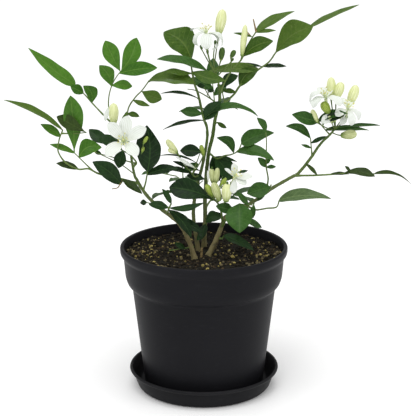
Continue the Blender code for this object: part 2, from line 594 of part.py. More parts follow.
def build_right_sprays(limbs, mat):
    spray = Spray("centre_bloom", limbs, ("right_stem", 0.92),
                  [(15, -15, 168), (12, -18, 176), (3, -20, 185)], (1.0, 0.7), mat)
    spray.leaves((0.62, 162, 44.5, 20.5, 25, 2, 40, 0.7, -0.05))
    spray.flower(0.6, (24.2, -17, 193), 70, 45, 10, [(94, 10, 15.5, 7.5, 30), (137, -15, 13.5, 3.5, 50),
                                                     (8, 15, 17.5, 7.5, 30), (335, 30, 14, 8, 40),
                                                     (262, 20, 15, 7, 50)])
    spray.bud(0.7, (8, -18, 193.8), 96, 0, 13, 5.5)
    spray.bud(0.6, (13.7, -24, 179.6), 109, 0, 17, 7.6)
    spray.bud(0.5, (19.3, -26, 179.3), 86, 0, 16.2, 8.8)
    spray.bud(0.8, (8, -22, 183), 120, 0, 12, 5.5)
    spray.finish()

    spray = Spray("front_low", limbs, ("right_stem", 0.8), [(20, -17, 161), (26, -22, 170), (31, -25, 177)],
                  (0.9, 0.6), mat)
    spray.leaves((1, 270, 28, 24.5, 8, 40, 14), (0.67, 162, 17, 10, 30, 10),
                 (0.74, -39.5, 34, 7.5, 50, -20, 20, 0.6, -0.09))
    spray.pinnate(0.98, -4, 0, 13, 0, [(0.6, 130, 16, 6, 30, 10), (1, -95, 12, 6, 30, 20)])
    spray.finish()

    spray = Spray("right_low", limbs, ("right_bough", 0.32),
                  [(46, -5, 166), (56, -7, 168), (64, -7, 169), (66.5, -7, 175)], (0.8, 0.6), mat)
    spray.leaves((1, 7.5, 49.5, 13.5, 50, 20, 50, 0.38, 0.03))
    spray.finish()

    spray = Spray("right_upright", limbs, ("right_bough", 0.6),
                  [(57, 4, 192), (55, 3, 205), (55, 0, 226), (54, -3, 236)], (0.8, 0.45), mat)
    spray.leaves((0.38, 2, 9, 4, 30), (0.38, 132, 12, 7, 30), (0.44, 50, 6.5, 4.5, 30),
                 (1, 121, 16, 7, 30, 10, 20, 0.5, -0.09))
    spray.finish()

    spray = Spray("right_near", limbs, ("right_bough", 0.55), [(58, -3, 185), (59, -10, 190)],
                  (0.9, 0.7), mat)
    spray.leaves((0.7, 193, 22, 14.5, 20, 12, 14), (0.1, 225, 11, 5, 35, 20, 14))
    spray.finish()

    spray = Spray("soil_leaf", limbs, ("right_stem", 0.5), [(16, -10, 141), (18, -11, 144)], (0.8, 0.6), mat)
    spray.leaves((1, -25, 31, 10, 45, 10, 50, 0.4, -0.03))
    spray.finish()

    spray = Spray("right_bloom", limbs, ("right_upper_bough", 1), [(116, 11, 236)], (1.0, 0.9), mat)
    spray.pinnate(0.2, 135, 8, 17, -10, [(0.95, 161, 28.5, 12.5, 30, 22, 20, 0.5, 0.02),
                                         (1, 20, 29, 9.5, 50, 24, 24, 0.4, 0.07),
                                         (0.35, -2.5, 41, 8, 62, -10, 20, 0.4)])
    spray.leaves((1, -1, 46, 5.5, 66, -22, 16, 0.6))
    spray.flower(0.9, (108.3, 8.3, 254), 100, 15, 9, [(196, 0, 26, 8, 200), (205, 33, 20, 11, 120),
                                                      (342, 35, 20, 11, 120), (120, -50, 18, 8, 60),
                                                      (50, -50, 18, 8, 60)])
    spray.flower(0.9, (125, 8.5, 246.2), 85, 30, 9, [(318, 0, 18, 8, 124), (285, 25, 18, 8, 110),
                                                     (203, 20, 14, 9, 60), (118, -30, 14, 7, 60),
                                                     (50, -50, 15, 7, 60)])
    spray.bud(1, (112, 15, 262.2), 91, 0, 18.7, 8.1)
    spray.bud(1, (116.2, 13, 261.7), 73, 0, 15.8, 8.5)
    spray.bud(1, (128, 14, 256.6), 71, 0, 18.5, 9)
    spray.bud(0.5, (121.3, 8, 230.4), 6, 0, 13.6, 8.4)
    spray.bud(0.8, (100, 8, 242), 114, 0, 12.7, 5.2)
    spray.bud(0.9, (109.6, 5, 251.2), 121, 0, 11.4, 8)
    spray.finish()

    spray = Spray("right_shoot", limbs, ("right_upper_bough", 0.5), [(95, 7, 219), (94, 6, 228)],
                  (0.6, 0.5), mat)
    spray.leaves((1, 156, 25.5, 8.5, 30, -18, 20, 0.5, -0.15), (0.36, 161, 10, 3.2, 40, 0, 14))
    spray.leaves((0.7, 30, 17, 4.4, 35, 24, 14))
    spray.finish()

    spray = Spray("right_long", limbs, ("right_bough", 0.985),
                  [(99, 1, 196), (121, -1, 198), (131, -3, 200), (141, -5, 199), (150, -6, 199)],
                  (0.9, 0.6), mat)
    spray.leaves((0.4, 2, 18, 4, 50, 5), (0.68, 132, 8, 4, 50), (0.58, -1, 29.5, 9.5, 50, 20, 30, 0.6, 0.07),
                 (1, -19, 38, 5, 60, -12, 50, 0.3, 0.08), (0.24, 135, 16, 4.3, 40, 0, 14))
    spray.finish()


def build_back_sprays(limbs, mat):
    """The side that the front view hides: sprays that lean away, grown by rule in a space each."""
    spray = Spray("back_left", limbs, ("mid_stem_left", 0.28),
                  [(-11, 19, 173), (-16, 37, 176), (-21, 55, 178), (-26, 71, 178)], (1.0, 0.5), mat)
    spray.grow(9, 5, 25, 0.2, ((-64, 20, 150), (-3, 112, 196)))
    spray.finish()

    spray = Spray("back_right", limbs, ("mid_stem_right", 0.23),
                  [(4, 28, 163), (10, 46, 166), (14.5, 62, 168), (19, 77, 168)], (1.0, 0.5), mat)
    spray.grow(15, 5, 26, 0.2, ((2, 26, 140), (72, 120, 192)))
    spray.finish()

    spray = Spray("back_high", limbs, ("mid_stem_right", 0.79),
                  [(10, 29, 248), (10, 43, 250), (10, 57, 250)], (0.9, 0.5), mat)
    spray.grow(2, 4, 24, 0.3, ((-40, 26, 200), (35, 96, 300)))
    spray.finish()


def main():
    for obj in list(bpy.data.objects):
        bpy.data.objects.remove(obj, do_unlink=True)
    plastic = material("black_plastic", (0.022, 0.023, 0.025), 0.42)
    tray = material("saucer_plastic", (0.02, 0.021, 0.023), 0.45)
    earth = material("soil", (0.02, 0.014, 0.009), 0.95)
    bark = material("tan_bark", (0.24, 0.21, 0.11), 0.75)
    green = material("green_bark", (0.12, 0.2, 0.05), 0.6)
    leaves = material("leaves", (0.035, 0.12, 0.022), 0.35)
    build_saucer(tray)
    build_pot(plastic)
    build_soil(earth)
    limbs = build_limbs(bark, green)
    build_left_sprays(limbs, leaves)
    build_middle_sprays(limbs, leaves)
    build_right_sprays(limbs, leaves)
    build_back_sprays(limbs, leaves)


main()
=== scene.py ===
import math
import random

import bpy
import numpy as np
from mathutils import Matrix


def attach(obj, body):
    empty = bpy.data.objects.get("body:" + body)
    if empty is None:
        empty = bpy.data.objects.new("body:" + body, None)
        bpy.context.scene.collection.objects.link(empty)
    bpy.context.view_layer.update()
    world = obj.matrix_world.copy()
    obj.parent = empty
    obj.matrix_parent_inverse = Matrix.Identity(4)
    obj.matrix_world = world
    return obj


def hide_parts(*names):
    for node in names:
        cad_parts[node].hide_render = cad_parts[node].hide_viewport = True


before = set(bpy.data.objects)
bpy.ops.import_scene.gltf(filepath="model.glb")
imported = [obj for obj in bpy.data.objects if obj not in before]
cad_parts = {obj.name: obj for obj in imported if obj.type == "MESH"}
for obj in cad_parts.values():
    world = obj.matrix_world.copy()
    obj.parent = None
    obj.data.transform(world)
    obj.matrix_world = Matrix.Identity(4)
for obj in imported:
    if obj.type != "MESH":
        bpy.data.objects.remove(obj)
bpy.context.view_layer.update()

# An orange jasmine shrub in a nursery pot on its saucer. The plan is in millimetres and the meshes are
# in metres; +X is to the right of the front view, +Y runs away from the viewer and +Z is up. A heading
# is a bearing in the front view, counted from +X through +Z, and a lean toward the viewer, in degrees.
mm = 0.001
jitter = random.Random(741)          # the fold of each leaf, drawn as the solids draw it
grain = np.random.default_rng(97)    # everything finer


# Camera, light and floor

view = {"place": (0.0037, -1.1144, 0.46965), "dip": 15.225, "lens": 112.45, "sensor": 36.0}
light = {"sky": 0.62, "sun": 1.45, "sunTilt": (-17, -5), "sunWidth": 50, "aim": (0, 0, 0.2)}
softBoxes = (   # place, size and power
    ((-0.4, -1.1, 1.0), (0.4, 0.4), 1.6),
    ((0.95, -0.45, 0.75), (0.2, 0.6), 0.9),
    ((0.1, 0.9, 1.1), (0.5, 0.3), 1.2),
)
floorPlan = {"reach": 9.0, "white": 0.97, "glow": 0.07, "rough": 0.9, "gloss": 0.1}


def addObject(name, data):
    obj = bpy.data.objects.new(name, data)
    bpy.context.scene.collection.objects.link(obj)
    return obj


def makeCamera():
    eye = addObject("eye", bpy.data.cameras.new("eye"))
    eye.location = view["place"]
    eye.rotation_euler = (math.radians(90 - view["dip"]), 0, 0)
    eye.data.lens, eye.data.sensor_width = view["lens"], view["sensor"]
    bpy.context.scene.camera = eye
    bpy.context.scene.view_settings.view_transform = "Standard"


def makeLight():
    # an even white sky, a wide soft sun, and soft boxes that look at the crown
    world = bpy.data.worlds.new("studio")
    world.use_nodes = True
    sky = world.node_tree.nodes["Background"]
    sky.inputs["Color"].default_value = (1, 1, 1, 1)
    sky.inputs["Strength"].default_value = light["sky"]
    bpy.context.scene.world = world
    sun = addObject("sun", bpy.data.lights.new("sun", "SUN"))
    sun.data.energy = light["sun"]
    sun.data.angle = math.radians(light["sunWidth"])
    sun.rotation_euler = (math.radians(-light["sunTilt"][0]), math.radians(light["sunTilt"][1]), 0)
    for k, (place, size, power) in enumerate(softBoxes):
        lamp = addObject(f"softBox{k}", bpy.data.lights.new(f"softBox{k}", "AREA"))
        lamp.data.shape = "RECTANGLE"
        lamp.data.size, lamp.data.size_y = size
        lamp.data.energy = power
        lamp.location = place
        turn = np.array(light["aim"]) - place
        climb = math.atan2(turn[2], math.hypot(turn[0], turn[1]))
        lamp.rotation_euler = (math.pi / 2 + climb, 0, math.atan2(-turn[0], turn[1]))


def makeFloor():
    # a wide white floor with a faint glow of its own, so that its far part stays as white as the photo's
    reach = floorPlan["reach"]
    mesh = bpy.data.meshes.new("floor")
    mesh.from_pydata([(-reach, -reach, 0), (reach, -reach, 0), (reach, reach, 0), (-reach, reach, 0)],
                     [], [(0, 1, 2, 3)])
    paint = bpy.data.materials.new("floor")
    paint.use_nodes = True
    shader = paint.node_tree.nodes["Principled BSDF"]
    shader.inputs["Base Color"].default_value = (floorPlan["white"],) * 3 + (1,)
    shader.inputs["Roughness"].default_value = floorPlan["rough"]
    shader.inputs["Specular IOR Level"].default_value = floorPlan["gloss"]
    shader.inputs["Emission Color"].default_value = (1, 1, 1, 1)
    shader.inputs["Emission Strength"].default_value = floorPlan["glow"]
    mesh.materials.append(paint)
    addObject("floor", mesh)


makeCamera()
makeLight()
makeFloor()
print("camera, light and floor stand")


# Shader maths

def linear(levels):     # a colour as a screen shows it, 0 to 255, for Blender's sockets
    share = np.array(levels) / 255
    return *np.where(share <= 0.04045, share / 12.92, ((share + 0.055) / 1.055) ** 2.4), 1


def operator(kind, swapped=False):      # one of Python's operators, as a Math node
    def apply(self, other=0.0):
        first, second = (other, self) if swapped else (self, other)
        return self.node("Math", {"operation": kind}, {0: first, 1: second})
    return apply


class Wire:     # a shader socket that Python's operators work on; node() adds any other node
    __add__, __radd__ = operator("ADD"), operator("ADD", True)
    __sub__, __rsub__ = operator("SUBTRACT"), operator("SUBTRACT", True)
    __mul__, __rmul__ = operator("MULTIPLY"), operator("MULTIPLY", True)
    __abs__, sine, fraction = operator("ABSOLUTE"), operator("SINE"), operator("FRACT")

    def __init__(self, tree, socket=None):
        self.tree, self.socket = tree, socket

    def node(self, kind, settings=None, inputs=None, output=0):
        made = self.tree.nodes.new("ShaderNode" + kind)
        for key, value in (settings or {}).items():
            setattr(made, key, value)
        for key, value in (inputs or {}).items():
            if isinstance(value, Wire):
                self.tree.links.new(value.socket, made.inputs[key])
            else:
                made.inputs[key].default_value = value
        return Wire(self.tree, made.outputs[output])

    def rise(self, low, high):      # 0 below low, 1 above high, smooth between
        return self.node("MapRange", {"interpolation_type": "SMOOTHSTEP"},
                         {"Value": self, "From Min": low, "From Max": high})

    def noise(self, scale, detail=2.0, rough=0.5):
        return self.node("TexNoise", None, {"Vector": self, "Scale": scale, "Detail": detail,
                                            "Roughness": rough})

    def stretch(self, x, y, z):     # the pattern's scale along each axis
        return self.node("Mapping", None, {"Vector": self, "Scale": (x, y, z)})

    def part(self, axis):           # one of a vector's three numbers
        return self.node("SeparateXYZ", None, {0: self}, axis)

    def tint(self, *ends):          # a colour that runs from the first to the second
        first, second = (end if isinstance(end, Wire) else linear(end) for end in ends)
        return self.node("Mix", {"data_type": "RGBA"}, {0: self, 6: first, 7: second}, 2)


def finish(name, gloss, paint, *values):
    # a material whose colour, roughness and bump paint() works out from the object's coordinates, the
    # mesh's plan and the values
    mat = bpy.data.materials.new(name)
    mat.use_nodes = True
    tree = mat.node_tree
    shader = tree.nodes["Principled BSDF"]
    shader.inputs["Specular IOR Level"].default_value = gloss
    start = Wire(tree)
    where = start.node("TexCoord", output="Object")
    plan = start.node("Attribute", {"attribute_name": "plan"}, output="Vector")
    made = paint(where, plan, *values)
    tree.links.new(made["colour"].socket, shader.inputs["Base Color"])
    tree.links.new(made["rough"].socket, shader.inputs["Roughness"])
    if "bump" in made:
        height, depth = made["bump"]
        bump = start.node("Bump", None, {"Height": height, "Strength": 1.0, "Distance": depth * mm})
        tree.links.new(bump.socket, shader.inputs["Normal"])
    return mat


# Surfaces

def unit(v):    # vectors of length 1 along the last axis
    return v / np.maximum(np.linalg.norm(v, axis=-1, keepdims=True), 1e-9)


def ripple(points, size, seed, waves=7):
    # smooth noise of about -1 to 1: a sum of sine waves of about that size in seeded directions
    rng = np.random.default_rng(seed)
    turns = unit(rng.normal(size=(waves, 3))) * (2 * np.pi / (size * rng.uniform(0.7, 1.5, (waves, 1))))
    return np.sin(points @ turns.T + rng.uniform(0, 2 * np.pi, waves)).sum(-1) / waves ** 0.5


def skin(rings, start=None, end=None):
    # one closed surface over rings of points, each end drawn to a point
    n, k = rings.shape[:2]
    poles = [rings[0].mean(0) if start is None else start, rings[-1].mean(0) if end is None else end]
    spot = np.arange(k)
    after = (spot + 1) % k
    row = np.arange(n - 1)[:, None] * k
    low, nxt = (row + spot).ravel(), (row + after).ravel()
    quads = np.stack([low, nxt, nxt + k, low + k], 1)
    first = np.stack([np.full(k, n * k), after, spot], 1)
    last = np.stack([(n - 1) * k + spot, (n - 1) * k + after, np.full(k, n * k + 1)], 1)
    return np.vstack([rings.reshape(-1, 3), *np.reshape(poles, (2, 3))]), quads, np.vstack([first, last])


class Heap:     # gathers closed skins into one piece, which stands for the CAD nodes in its set
    def __init__(self, name, slot, *mats, nodes=(), sharp=50):
        self.name, self.slot, self.mats = name, slot, mats
        self.nodes, self.sharp, self.count = set(nodes), sharp, 0
        self.verts, self.quads, self.tris, self.plans, self.kinds = [], [], [], [], [[], []]

    def add(self, made, plan=None, kinds=(0, 0)):
        # plan is the attribute that materials read; kinds are the quads' and the triangles' materials
        verts, quads, tris = made
        self.verts.append(verts)
        self.quads.append(quads + self.count)
        self.tris.append(tris + self.count)
        self.plans.append(np.zeros_like(verts) if plan is None else plan)
        self.kinds[0].append(np.full(len(quads), kinds[0]))
        self.kinds[1].append(np.full(len(tris), kinds[1]))
        self.count += len(verts)

    def build(self):
        mesh = bpy.data.meshes.new(self.name)
        quads, tris = np.vstack(self.quads), np.vstack(self.tris)
        mesh.from_pydata(np.vstack(self.verts) * mm, [], quads.tolist() + tris.tolist())
        for mat in self.mats:
            mesh.materials.append(mat)
        mesh.polygons.foreach_set("material_index", np.concatenate(self.kinds[0] + self.kinds[1]))
        plan = mesh.attributes.new("plan", "FLOAT_VECTOR", "POINT")
        plan.data.foreach_set("vector", np.vstack(self.plans).astype(np.float32).ravel())
        mesh.update()
        mesh.shade_smooth()
        mesh.set_sharp_from_angle(angle=math.radians(self.sharp))
        obj = addObject(self.name, mesh)
        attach(obj, "root")
        if self.nodes:
            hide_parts(*sorted(self.nodes))
        print(self.name, 2 * len(quads) + len(tris), "triangles")


def smoothPath(points, step):
    # a Catmull-Rom curve through the points, read about every step millimetres
    pts = np.array(points, float)
    ends = np.vstack([2 * pts[0] - pts[1], pts, 2 * pts[-1] - pts[-2]])
    runs = []
    for a, b, c, d in zip(ends, ends[1:], ends[2:], ends[3:]):
        count = max(1, round(np.linalg.norm(c - b) / step))
        t = (np.arange(count) / count)[:, None]
        runs.append(0.5 * (2 * b + (c - a) * t + (2 * a - 5 * b + 4 * c - d) * t ** 2
                           + (3 * b - a - 3 * c + d) * t ** 3))
    return np.vstack([*runs, pts[-1:]])


def alongPath(path, at):
    # the point and the direction at a share of a path's length
    legs = np.diff(path, axis=0)
    lengths = np.linalg.norm(legs, axis=1)
    left = at * lengths.sum()
    ends = np.cumsum(lengths)
    k = min(int(np.searchsorted(ends, left)), len(legs) - 1)
    share = min(1.0, (left - ends[k] + lengths[k]) / lengths[k])
    return path[k] + legs[k] * share, legs[k] / lengths[k]


def around(sides):      # evenly spaced angles of a full turn
    return 2 * np.pi * np.arange(sides) / sides


def tubeRings(path, radii, sides, relief=None):
    # a round section carried along the path; side stays as square as it can to the whole path
    ahead = unit(np.gradient(path, axis=0))
    square = np.linalg.svd(ahead, full_matrices=True)[2][-1]
    side = unit(square - ahead * (ahead @ square)[:, None])
    across = np.cross(ahead, side)
    t = np.linspace(0, 1, len(path))
    angle = around(sides)
    out = side[:, None] * np.cos(angle)[:, None] + across[:, None] * np.sin(angle)[:, None]
    reach = np.broadcast_to(radii(t)[:, None], (len(path), sides))
    if relief is not None:
        reach = reach + relief(path[:, None] + out * reach[..., None], t[:, None], angle)
    return path[:, None] + out * reach[..., None]


def taper(start, end):      # a radius that runs evenly from the start to the end
    return lambda t: start + (end - start) * t


def flared(start, end):     # a stem's taper with a slight swelling at the ground
    return lambda t: start + (end - start) * t + 0.35 * start * np.maximum(0, 1 - t / 0.12) ** 2


def rounded(corners, steps=5):
    # a profile of (radius, height, fillet) corners, each corner rounded by its fillet
    pts = np.array([c[:2] for c in corners], float)
    line = [pts[:1]]
    for before, here, after, fillet in zip(pts, pts[1:], pts[2:], [c[2] for c in corners[1:]]):
        back, on = before - here, after - here
        cut = min(fillet, 0.48 * np.linalg.norm(back), 0.48 * np.linalg.norm(on))
        a, b = here + unit(back) * cut, here + unit(on) * cut
        t = np.linspace(0, 1, steps + 1)[:, None]
        line.append((1 - t) ** 2 * a + 2 * t * (1 - t) * here + t ** 2 * b)
    return np.vstack([*line, pts[-1:]])


def turnedRings(profile, sides):
    # the profile's points of (radius, height) carried round the upright axis
    rings = np.empty((len(profile), sides, 3))
    rings[..., 0] = profile[:, :1] * np.cos(around(sides))
    rings[..., 1] = profile[:, :1] * np.sin(around(sides))
    rings[..., 2] = profile[:, 1:2]
    return rings


# Pot, saucer and soil

gap = 0.3       # between neighbours, as in the solids
plastic = {"sides": 160, "gloss": 0.06, "sharp": 35}
saucer = {"rim": 68.0, "foot": 57.5, "height": 18.7, "floor": 3.0, "dust": (12, 20),
          "tints": ((24, 24, 26), (44, 44, 46))}
pot = {"rim": 75.0, "height": 132.5, "lip": 8.0, "collar": 71.8, "draft": 1.2, "ledge": 104.0, "step": 6.0,
       "body": 64.7, "foot": 54.0, "wall": 1.8, "floor": 2.5, "dust": (122, 134),
       "tints": ((22, 22, 25), (42, 42, 45))}
soil = {"level": 124.5, "edge": 71.5, "clear": 0.25, "rings": 70, "sides": 190,
        "tints": ((12, 12, 10), (44, 41, 32))}
gritReach = 69.2
grit = {    # count, sizes, shape, the share that stays in the middle, dark and pale, speck size and gloss
    "soil_crumbs": (1900, (0.9, 2.3), (1, 1, 0.8), 1, (16, 15, 12), (52, 46, 35), 500, 0.15),
    "ochre_grains": (230, (0.7, 2.3), (1, 0.85, 0.75), 0.35, (112, 98, 52), (190, 174, 104), 600, 0.2),
    "tan_grains": (330, (0.7, 2.6), (1, 0.8, 0.7), 0.35, (74, 66, 46), (132, 120, 88), 600, 0.2),
    "bark_chips": (260, (1.2, 3.2), (1.3, 0.45, 0.35), 0.35, (40, 32, 22), (86, 70, 48), 700, 0.2),
}


def plasticPaint(where, plan, base, pale, low, high):
    # moulded plastic: a fine grain, faint rub marks, and dust that gathers from the low height to the high
    cloud = where.noise(14, 3)
    rub = where.stretch(1, 1, 6).noise(120, 4, 0.6).rise(0.56, 0.72)
    dust = where.part(2).rise(low * mm, high * mm) * where.noise(60, 4).rise(0.4, 0.75)
    colour = (cloud * 0.5 + rub * 0.25 + dust * 0.35).tint(base, pale)
    rough = 0.4 + cloud * 0.1 + rub * 0.08 + dust * 0.15
    bump = where.noise(1800, 2) * 0.6 + where.noise(90, 2) * 0.4
    return {"colour": colour, "rough": rough, "bump": (bump, 0.06)}


def turnedShell(node, spec, corners):
    # moulded plastic: the profile, from the axis underneath to the axis inside, turned round that axis
    mat = finish(f"{node}Plastic", plastic["gloss"], plasticPaint, *spec["tints"], *spec["dust"])
    rings = turnedRings(rounded(corners)[1:-1], plastic["sides"])
    heap = Heap(f"{node}_shell", node, mat, nodes=[node], sharp=plastic["sharp"])
    heap.add(skin(rings, (0, 0, corners[0][1]), (0, 0, corners[-1][1])))
    heap.build()


def potInner(height):
    # the inner wall's radius: a cone up to the step, then the step, then the collar's slight draft
    foot = saucer["floor"] + gap + pot["floor"]
    ledge, top = pot["ledge"] - pot["step"], pot["height"] - pot["lip"]
    low, high = pot["foot"] - pot["wall"], pot["body"] - pot["wall"]
    if height <= ledge:
        return low + (high - low) * (height - foot) / (ledge - foot)
    collar = pot["collar"] - pot["wall"] - pot["draft"]
    up, rest = height - ledge, top - ledge - pot["step"]
    return (high + (collar - high) * min(1, up / pot["step"])
            + pot["draft"] * max(0, up - pot["step"]) / rest)


def makeSaucer():
    rim, foot, high, floor = saucer["rim"], saucer["foot"], saucer["height"], saucer["floor"]
    bowl = rim - 4
    turnedShell("saucer", saucer, [
        (0, 0, 0), (foot, 0, 1.2), (foot + 2.8, 1.6, 1.5), (bowl - 1.2, 8, 3), (bowl, high - 4, 1.2),
        (rim - 0.8, high - 3, 1), (rim, high - 1.6, 0.8), (rim - 0.9, high, 0.8),
        (rim - 2.6, high - 0.4, 0.9), (bowl - 3.2, 8, 3), (foot + 0.4, floor, 2.5), (0, floor, 0)])


def makePot():
    foot = saucer["floor"] + gap
    inside = foot + pot["floor"]
    rim, high, ledge, collar = pot["rim"], pot["height"], pot["ledge"], pot["collar"]
    step, lip = ledge - pot["step"], high - pot["lip"]
    turnedShell("pot", pot, [
        (0, foot, 0), (pot["foot"] - 1, foot, 0.6), (pot["foot"], foot + 1, 0.8),
        (pot["body"] - 0.6, ledge - 13, 3), (pot["body"], ledge - 9, 1.6), (collar - 3.4, ledge - 5.5, 1.6),
        (collar - 1.4, ledge, 3), (collar, lip - 4, 3), (collar + 0.3, lip - 2, 0.8),
        (rim - 0.4, lip + 1.5, 1), (rim, lip + 3.5, 1), (rim, high - 1.2, 0.9), (rim - 1.1, high, 0.9),
        (potInner(lip) + 1.6, high - 0.6, 0.7), (potInner(lip), lip, 3), (potInner(ledge), ledge, 2),
        (potInner(step), step, 2), (potInner(inside), inside, 1), (0, inside, 0)])


def soilHeight(x, y):
    # the soil's lumpy surface: three sizes of lumps, kept low at the middle where the stems rise
    flat = np.stack([x, y, np.zeros_like(x)], -1)
    spread = np.hypot(x, y)
    lumps = 0.9 * ripple(flat, 22, 3) + 0.55 * ripple(flat, 8, 4) + 0.3 * ripple(flat, 3.4, 5)
    share = np.clip(0.35 + spread / 60, 0, 1)
    return soil["level"] + lumps * share * np.clip((soil["edge"] - spread) / 3, 0.2, 1)


def soilPaint(where, plan):
    # dark earth: wide damp and dry parts under pale crumbs
    damp = where.noise(30, 4, 0.6)
    crumb = where.noise(420, 3, 0.6)
    colour = (damp * 0.5 + crumb.rise(0.45, 0.7) * 0.4).tint(*soil["tints"])
    bump = crumb + where.noise(1400, 2) * 0.5
    return {"colour": colour, "rough": 0.75 + crumb * 0.25, "bump": (bump, 0.5)}


def gritPaint(where, plan, dark, pale, speck):
    # specks on a tone of each grain's own, which is the plan's first number
    spots = where.noise(speck, 3, 0.6)
    colour = (spots.rise(0.35, 0.65) * 0.6 + plan.part(0) * 0.4).tint(dark, pale)
    return {"colour": colour, "rough": 0.7 + spots * 0.3, "bump": (where.noise(speck * 4, 2), 0.15)}


def lumpShape():    # an icosahedron's corners and faces
    ratio = (1 + 5 ** 0.5) / 2
    base = np.array([(0, a, b * ratio) for a in (-1, 1) for b in (-1, 1)])
    corners = np.vstack([np.roll(base, -turn, 1) for turn in range(3)])
    corners = corners / np.linalg.norm(corners[0])
    away = np.linalg.norm(corners[:, None] - corners[None], axis=-1)
    side = away[away > 0.1].min() * 1.01
    faces = [(a, b, c) for a in range(12) for b in range(a) for c in range(b)
             if away[a, b] < side and away[b, c] < side and away[a, c] < side]
    faces = [f if np.linalg.det(corners[list(f)]) > 0 else f[::-1] for f in faces]     # all face out
    return corners, np.array(faces)


def crowding(x, y, least):      # the share of grains that stays: all at the sides, least amid and behind
    return least + (1 - least) * np.clip(np.abs(x) / 45, 0, 1) * (y < 35)


def scatter(name, count, sizes, shape, least, dark, pale, speck, gloss):
    # angular lumps on the soil: each an icosahedron with its corners moved, turned and set in the ground
    corners, faces = lumpShape()
    tries = 6 * count
    angle = grain.uniform(0, 2 * np.pi, tries)
    spread = gritReach * np.sqrt(grain.uniform(0, 1, tries))
    x, y = spread * np.cos(angle), spread * np.sin(angle)
    keep = np.flatnonzero(grain.uniform(0, 1, tries) < crowding(x, y, least))[:count]
    x, y = x[keep], y[keep]
    count = len(keep)
    size = grain.uniform(*sizes, (count, 1)) * grain.uniform(0.7, 1.0, (count, 1)) ** 2
    body = corners[None] * grain.uniform(0.72, 1.15, (count, 12, 1)) * (size * np.array(shape))[:, None]
    turn, lean = grain.uniform(0, 2 * np.pi, count), grain.normal(0, 0.35, count)
    cosT, sinT, cosL, sinL = np.cos(turn), np.sin(turn), np.cos(lean), np.sin(lean)
    zero = np.zeros(count)
    spin = np.stack([np.stack([cosT, -sinT * cosL, sinT * sinL], 1),
                     np.stack([sinT, cosT * cosL, -cosT * sinL], 1),
                     np.stack([zero, sinL, cosL], 1)], 1)
    body = np.einsum("nij,nkj->nki", spin, body)
    height = soilHeight(x, y) + 0.3 * size[:, 0] * shape[2]
    verts = body + np.stack([x, y, height], 1)[:, None]
    plan = np.zeros((count, 12, 3))
    plan[..., 0] = grain.uniform(0, 1, (count, 1))
    tris = (faces[None] + 12 * np.arange(count)[:, None, None]).reshape(-1, 3)
    heap = Heap(name, "soil", finish(name, gloss, gritPaint, dark, pale, speck), nodes=["soil"], sharp=28)
    heap.add((verts.reshape(-1, 3), np.zeros((0, 4), int), tris), plan.reshape(-1, 3))
    heap.build()


def makeSoil():
    # the root ball inside the pot's wall, its lumpy top, then everything that lies loose on it
    foot = saucer["floor"] + 2 * gap + pot["floor"]
    ledge, clear = pot["ledge"], gap + soil["clear"]
    heights = (foot, ledge - pot["step"] - 0.4, ledge + 0.4, soil["level"] - 1.5)
    wall = [(potInner(h) - clear, h) for h in heights]
    top = [(r, soil["level"]) for r in np.linspace(wall[-1][0] - 0.4, 0.8, soil["rings"])]
    rings = turnedRings(np.array(wall + top), soil["sides"])
    bed = rings[len(wall):]
    bed[..., 2] = soilHeight(bed[..., 0], bed[..., 1])
    middle = soilHeight(np.zeros(1), np.zeros(1))[0]
    heap = Heap("soil_bed", "soil", finish("soil", 0.15, soilPaint), nodes=["soil"])
    heap.add(skin(rings, (0, 0, foot), (0, 0, middle)))
    heap.build()
    for name, row in grit.items():
        scatter(name, *row)


makeSaucer()
makePot()
makeSoil()
print("saucer, pot and soil stand")


# Bark and wood

bark = {"coarse": 7, "fine": 0.8, "sides": 20, "scarEvery": 11.0, "intoSoil": 1.6}
limbs = {}      # each limb's coarse path, which is the solid's, and its radius


def barkPaint(where, plan):
    # tan at the ground, olive and green further up; streaks along the stem, grey patches and pale dots
    up = plan.part(0)
    streak = where.stretch(1, 1, 0.16).noise(900, 4, 0.6)
    patch = where.noise(160, 4, 0.6)
    dots = where.stretch(1, 1, 0.6).noise(1500, 1).rise(0.66, 0.74)
    tan = streak.tint((96, 84, 54), (158, 148, 104))
    olive = streak.tint((62, 80, 36), (114, 124, 76))
    green = streak.tint((46, 74, 20), (100, 124, 56))
    colour = (up + (patch - 0.5) * 0.5).rise(0.15, 0.5).tint(tan, olive)
    colour = (up + (patch - 0.5) * 0.4).rise(0.5, 0.95).tint(colour, green)
    colour = (patch.rise(0.58, 0.7) * (1 - up).rise(0.3, 0.8) * 0.7).tint(colour, (88, 82, 70))
    colour = (dots * 0.6).tint(colour, (188, 178, 140))
    return {"colour": colour, "rough": 0.6 + streak * 0.2, "bump": (streak * 0.7 + dots * 0.6, 0.22)}


barkMat = finish("bark", 0.3, barkPaint)


def limbRelief(radius, seed, length):
    # bark: long low ridges, a ring at each old leaf scar, and small bumps
    def relief(points, t, angle):
        ridge = 0.05 * radius * np.sin(5 * angle + 3 * ripple(points, 40, seed, 4))
        rings = np.cos(np.pi * t * length / bark["scarEvery"] + 0.4 * np.sin(angle)) ** 60
        lumps = 0.05 * radius * ripple(points, 6, seed + 1) + 0.025 * radius * ripple(points, 1.8, seed + 2)
        return ridge + 0.11 * radius * rings + lumps
    return relief


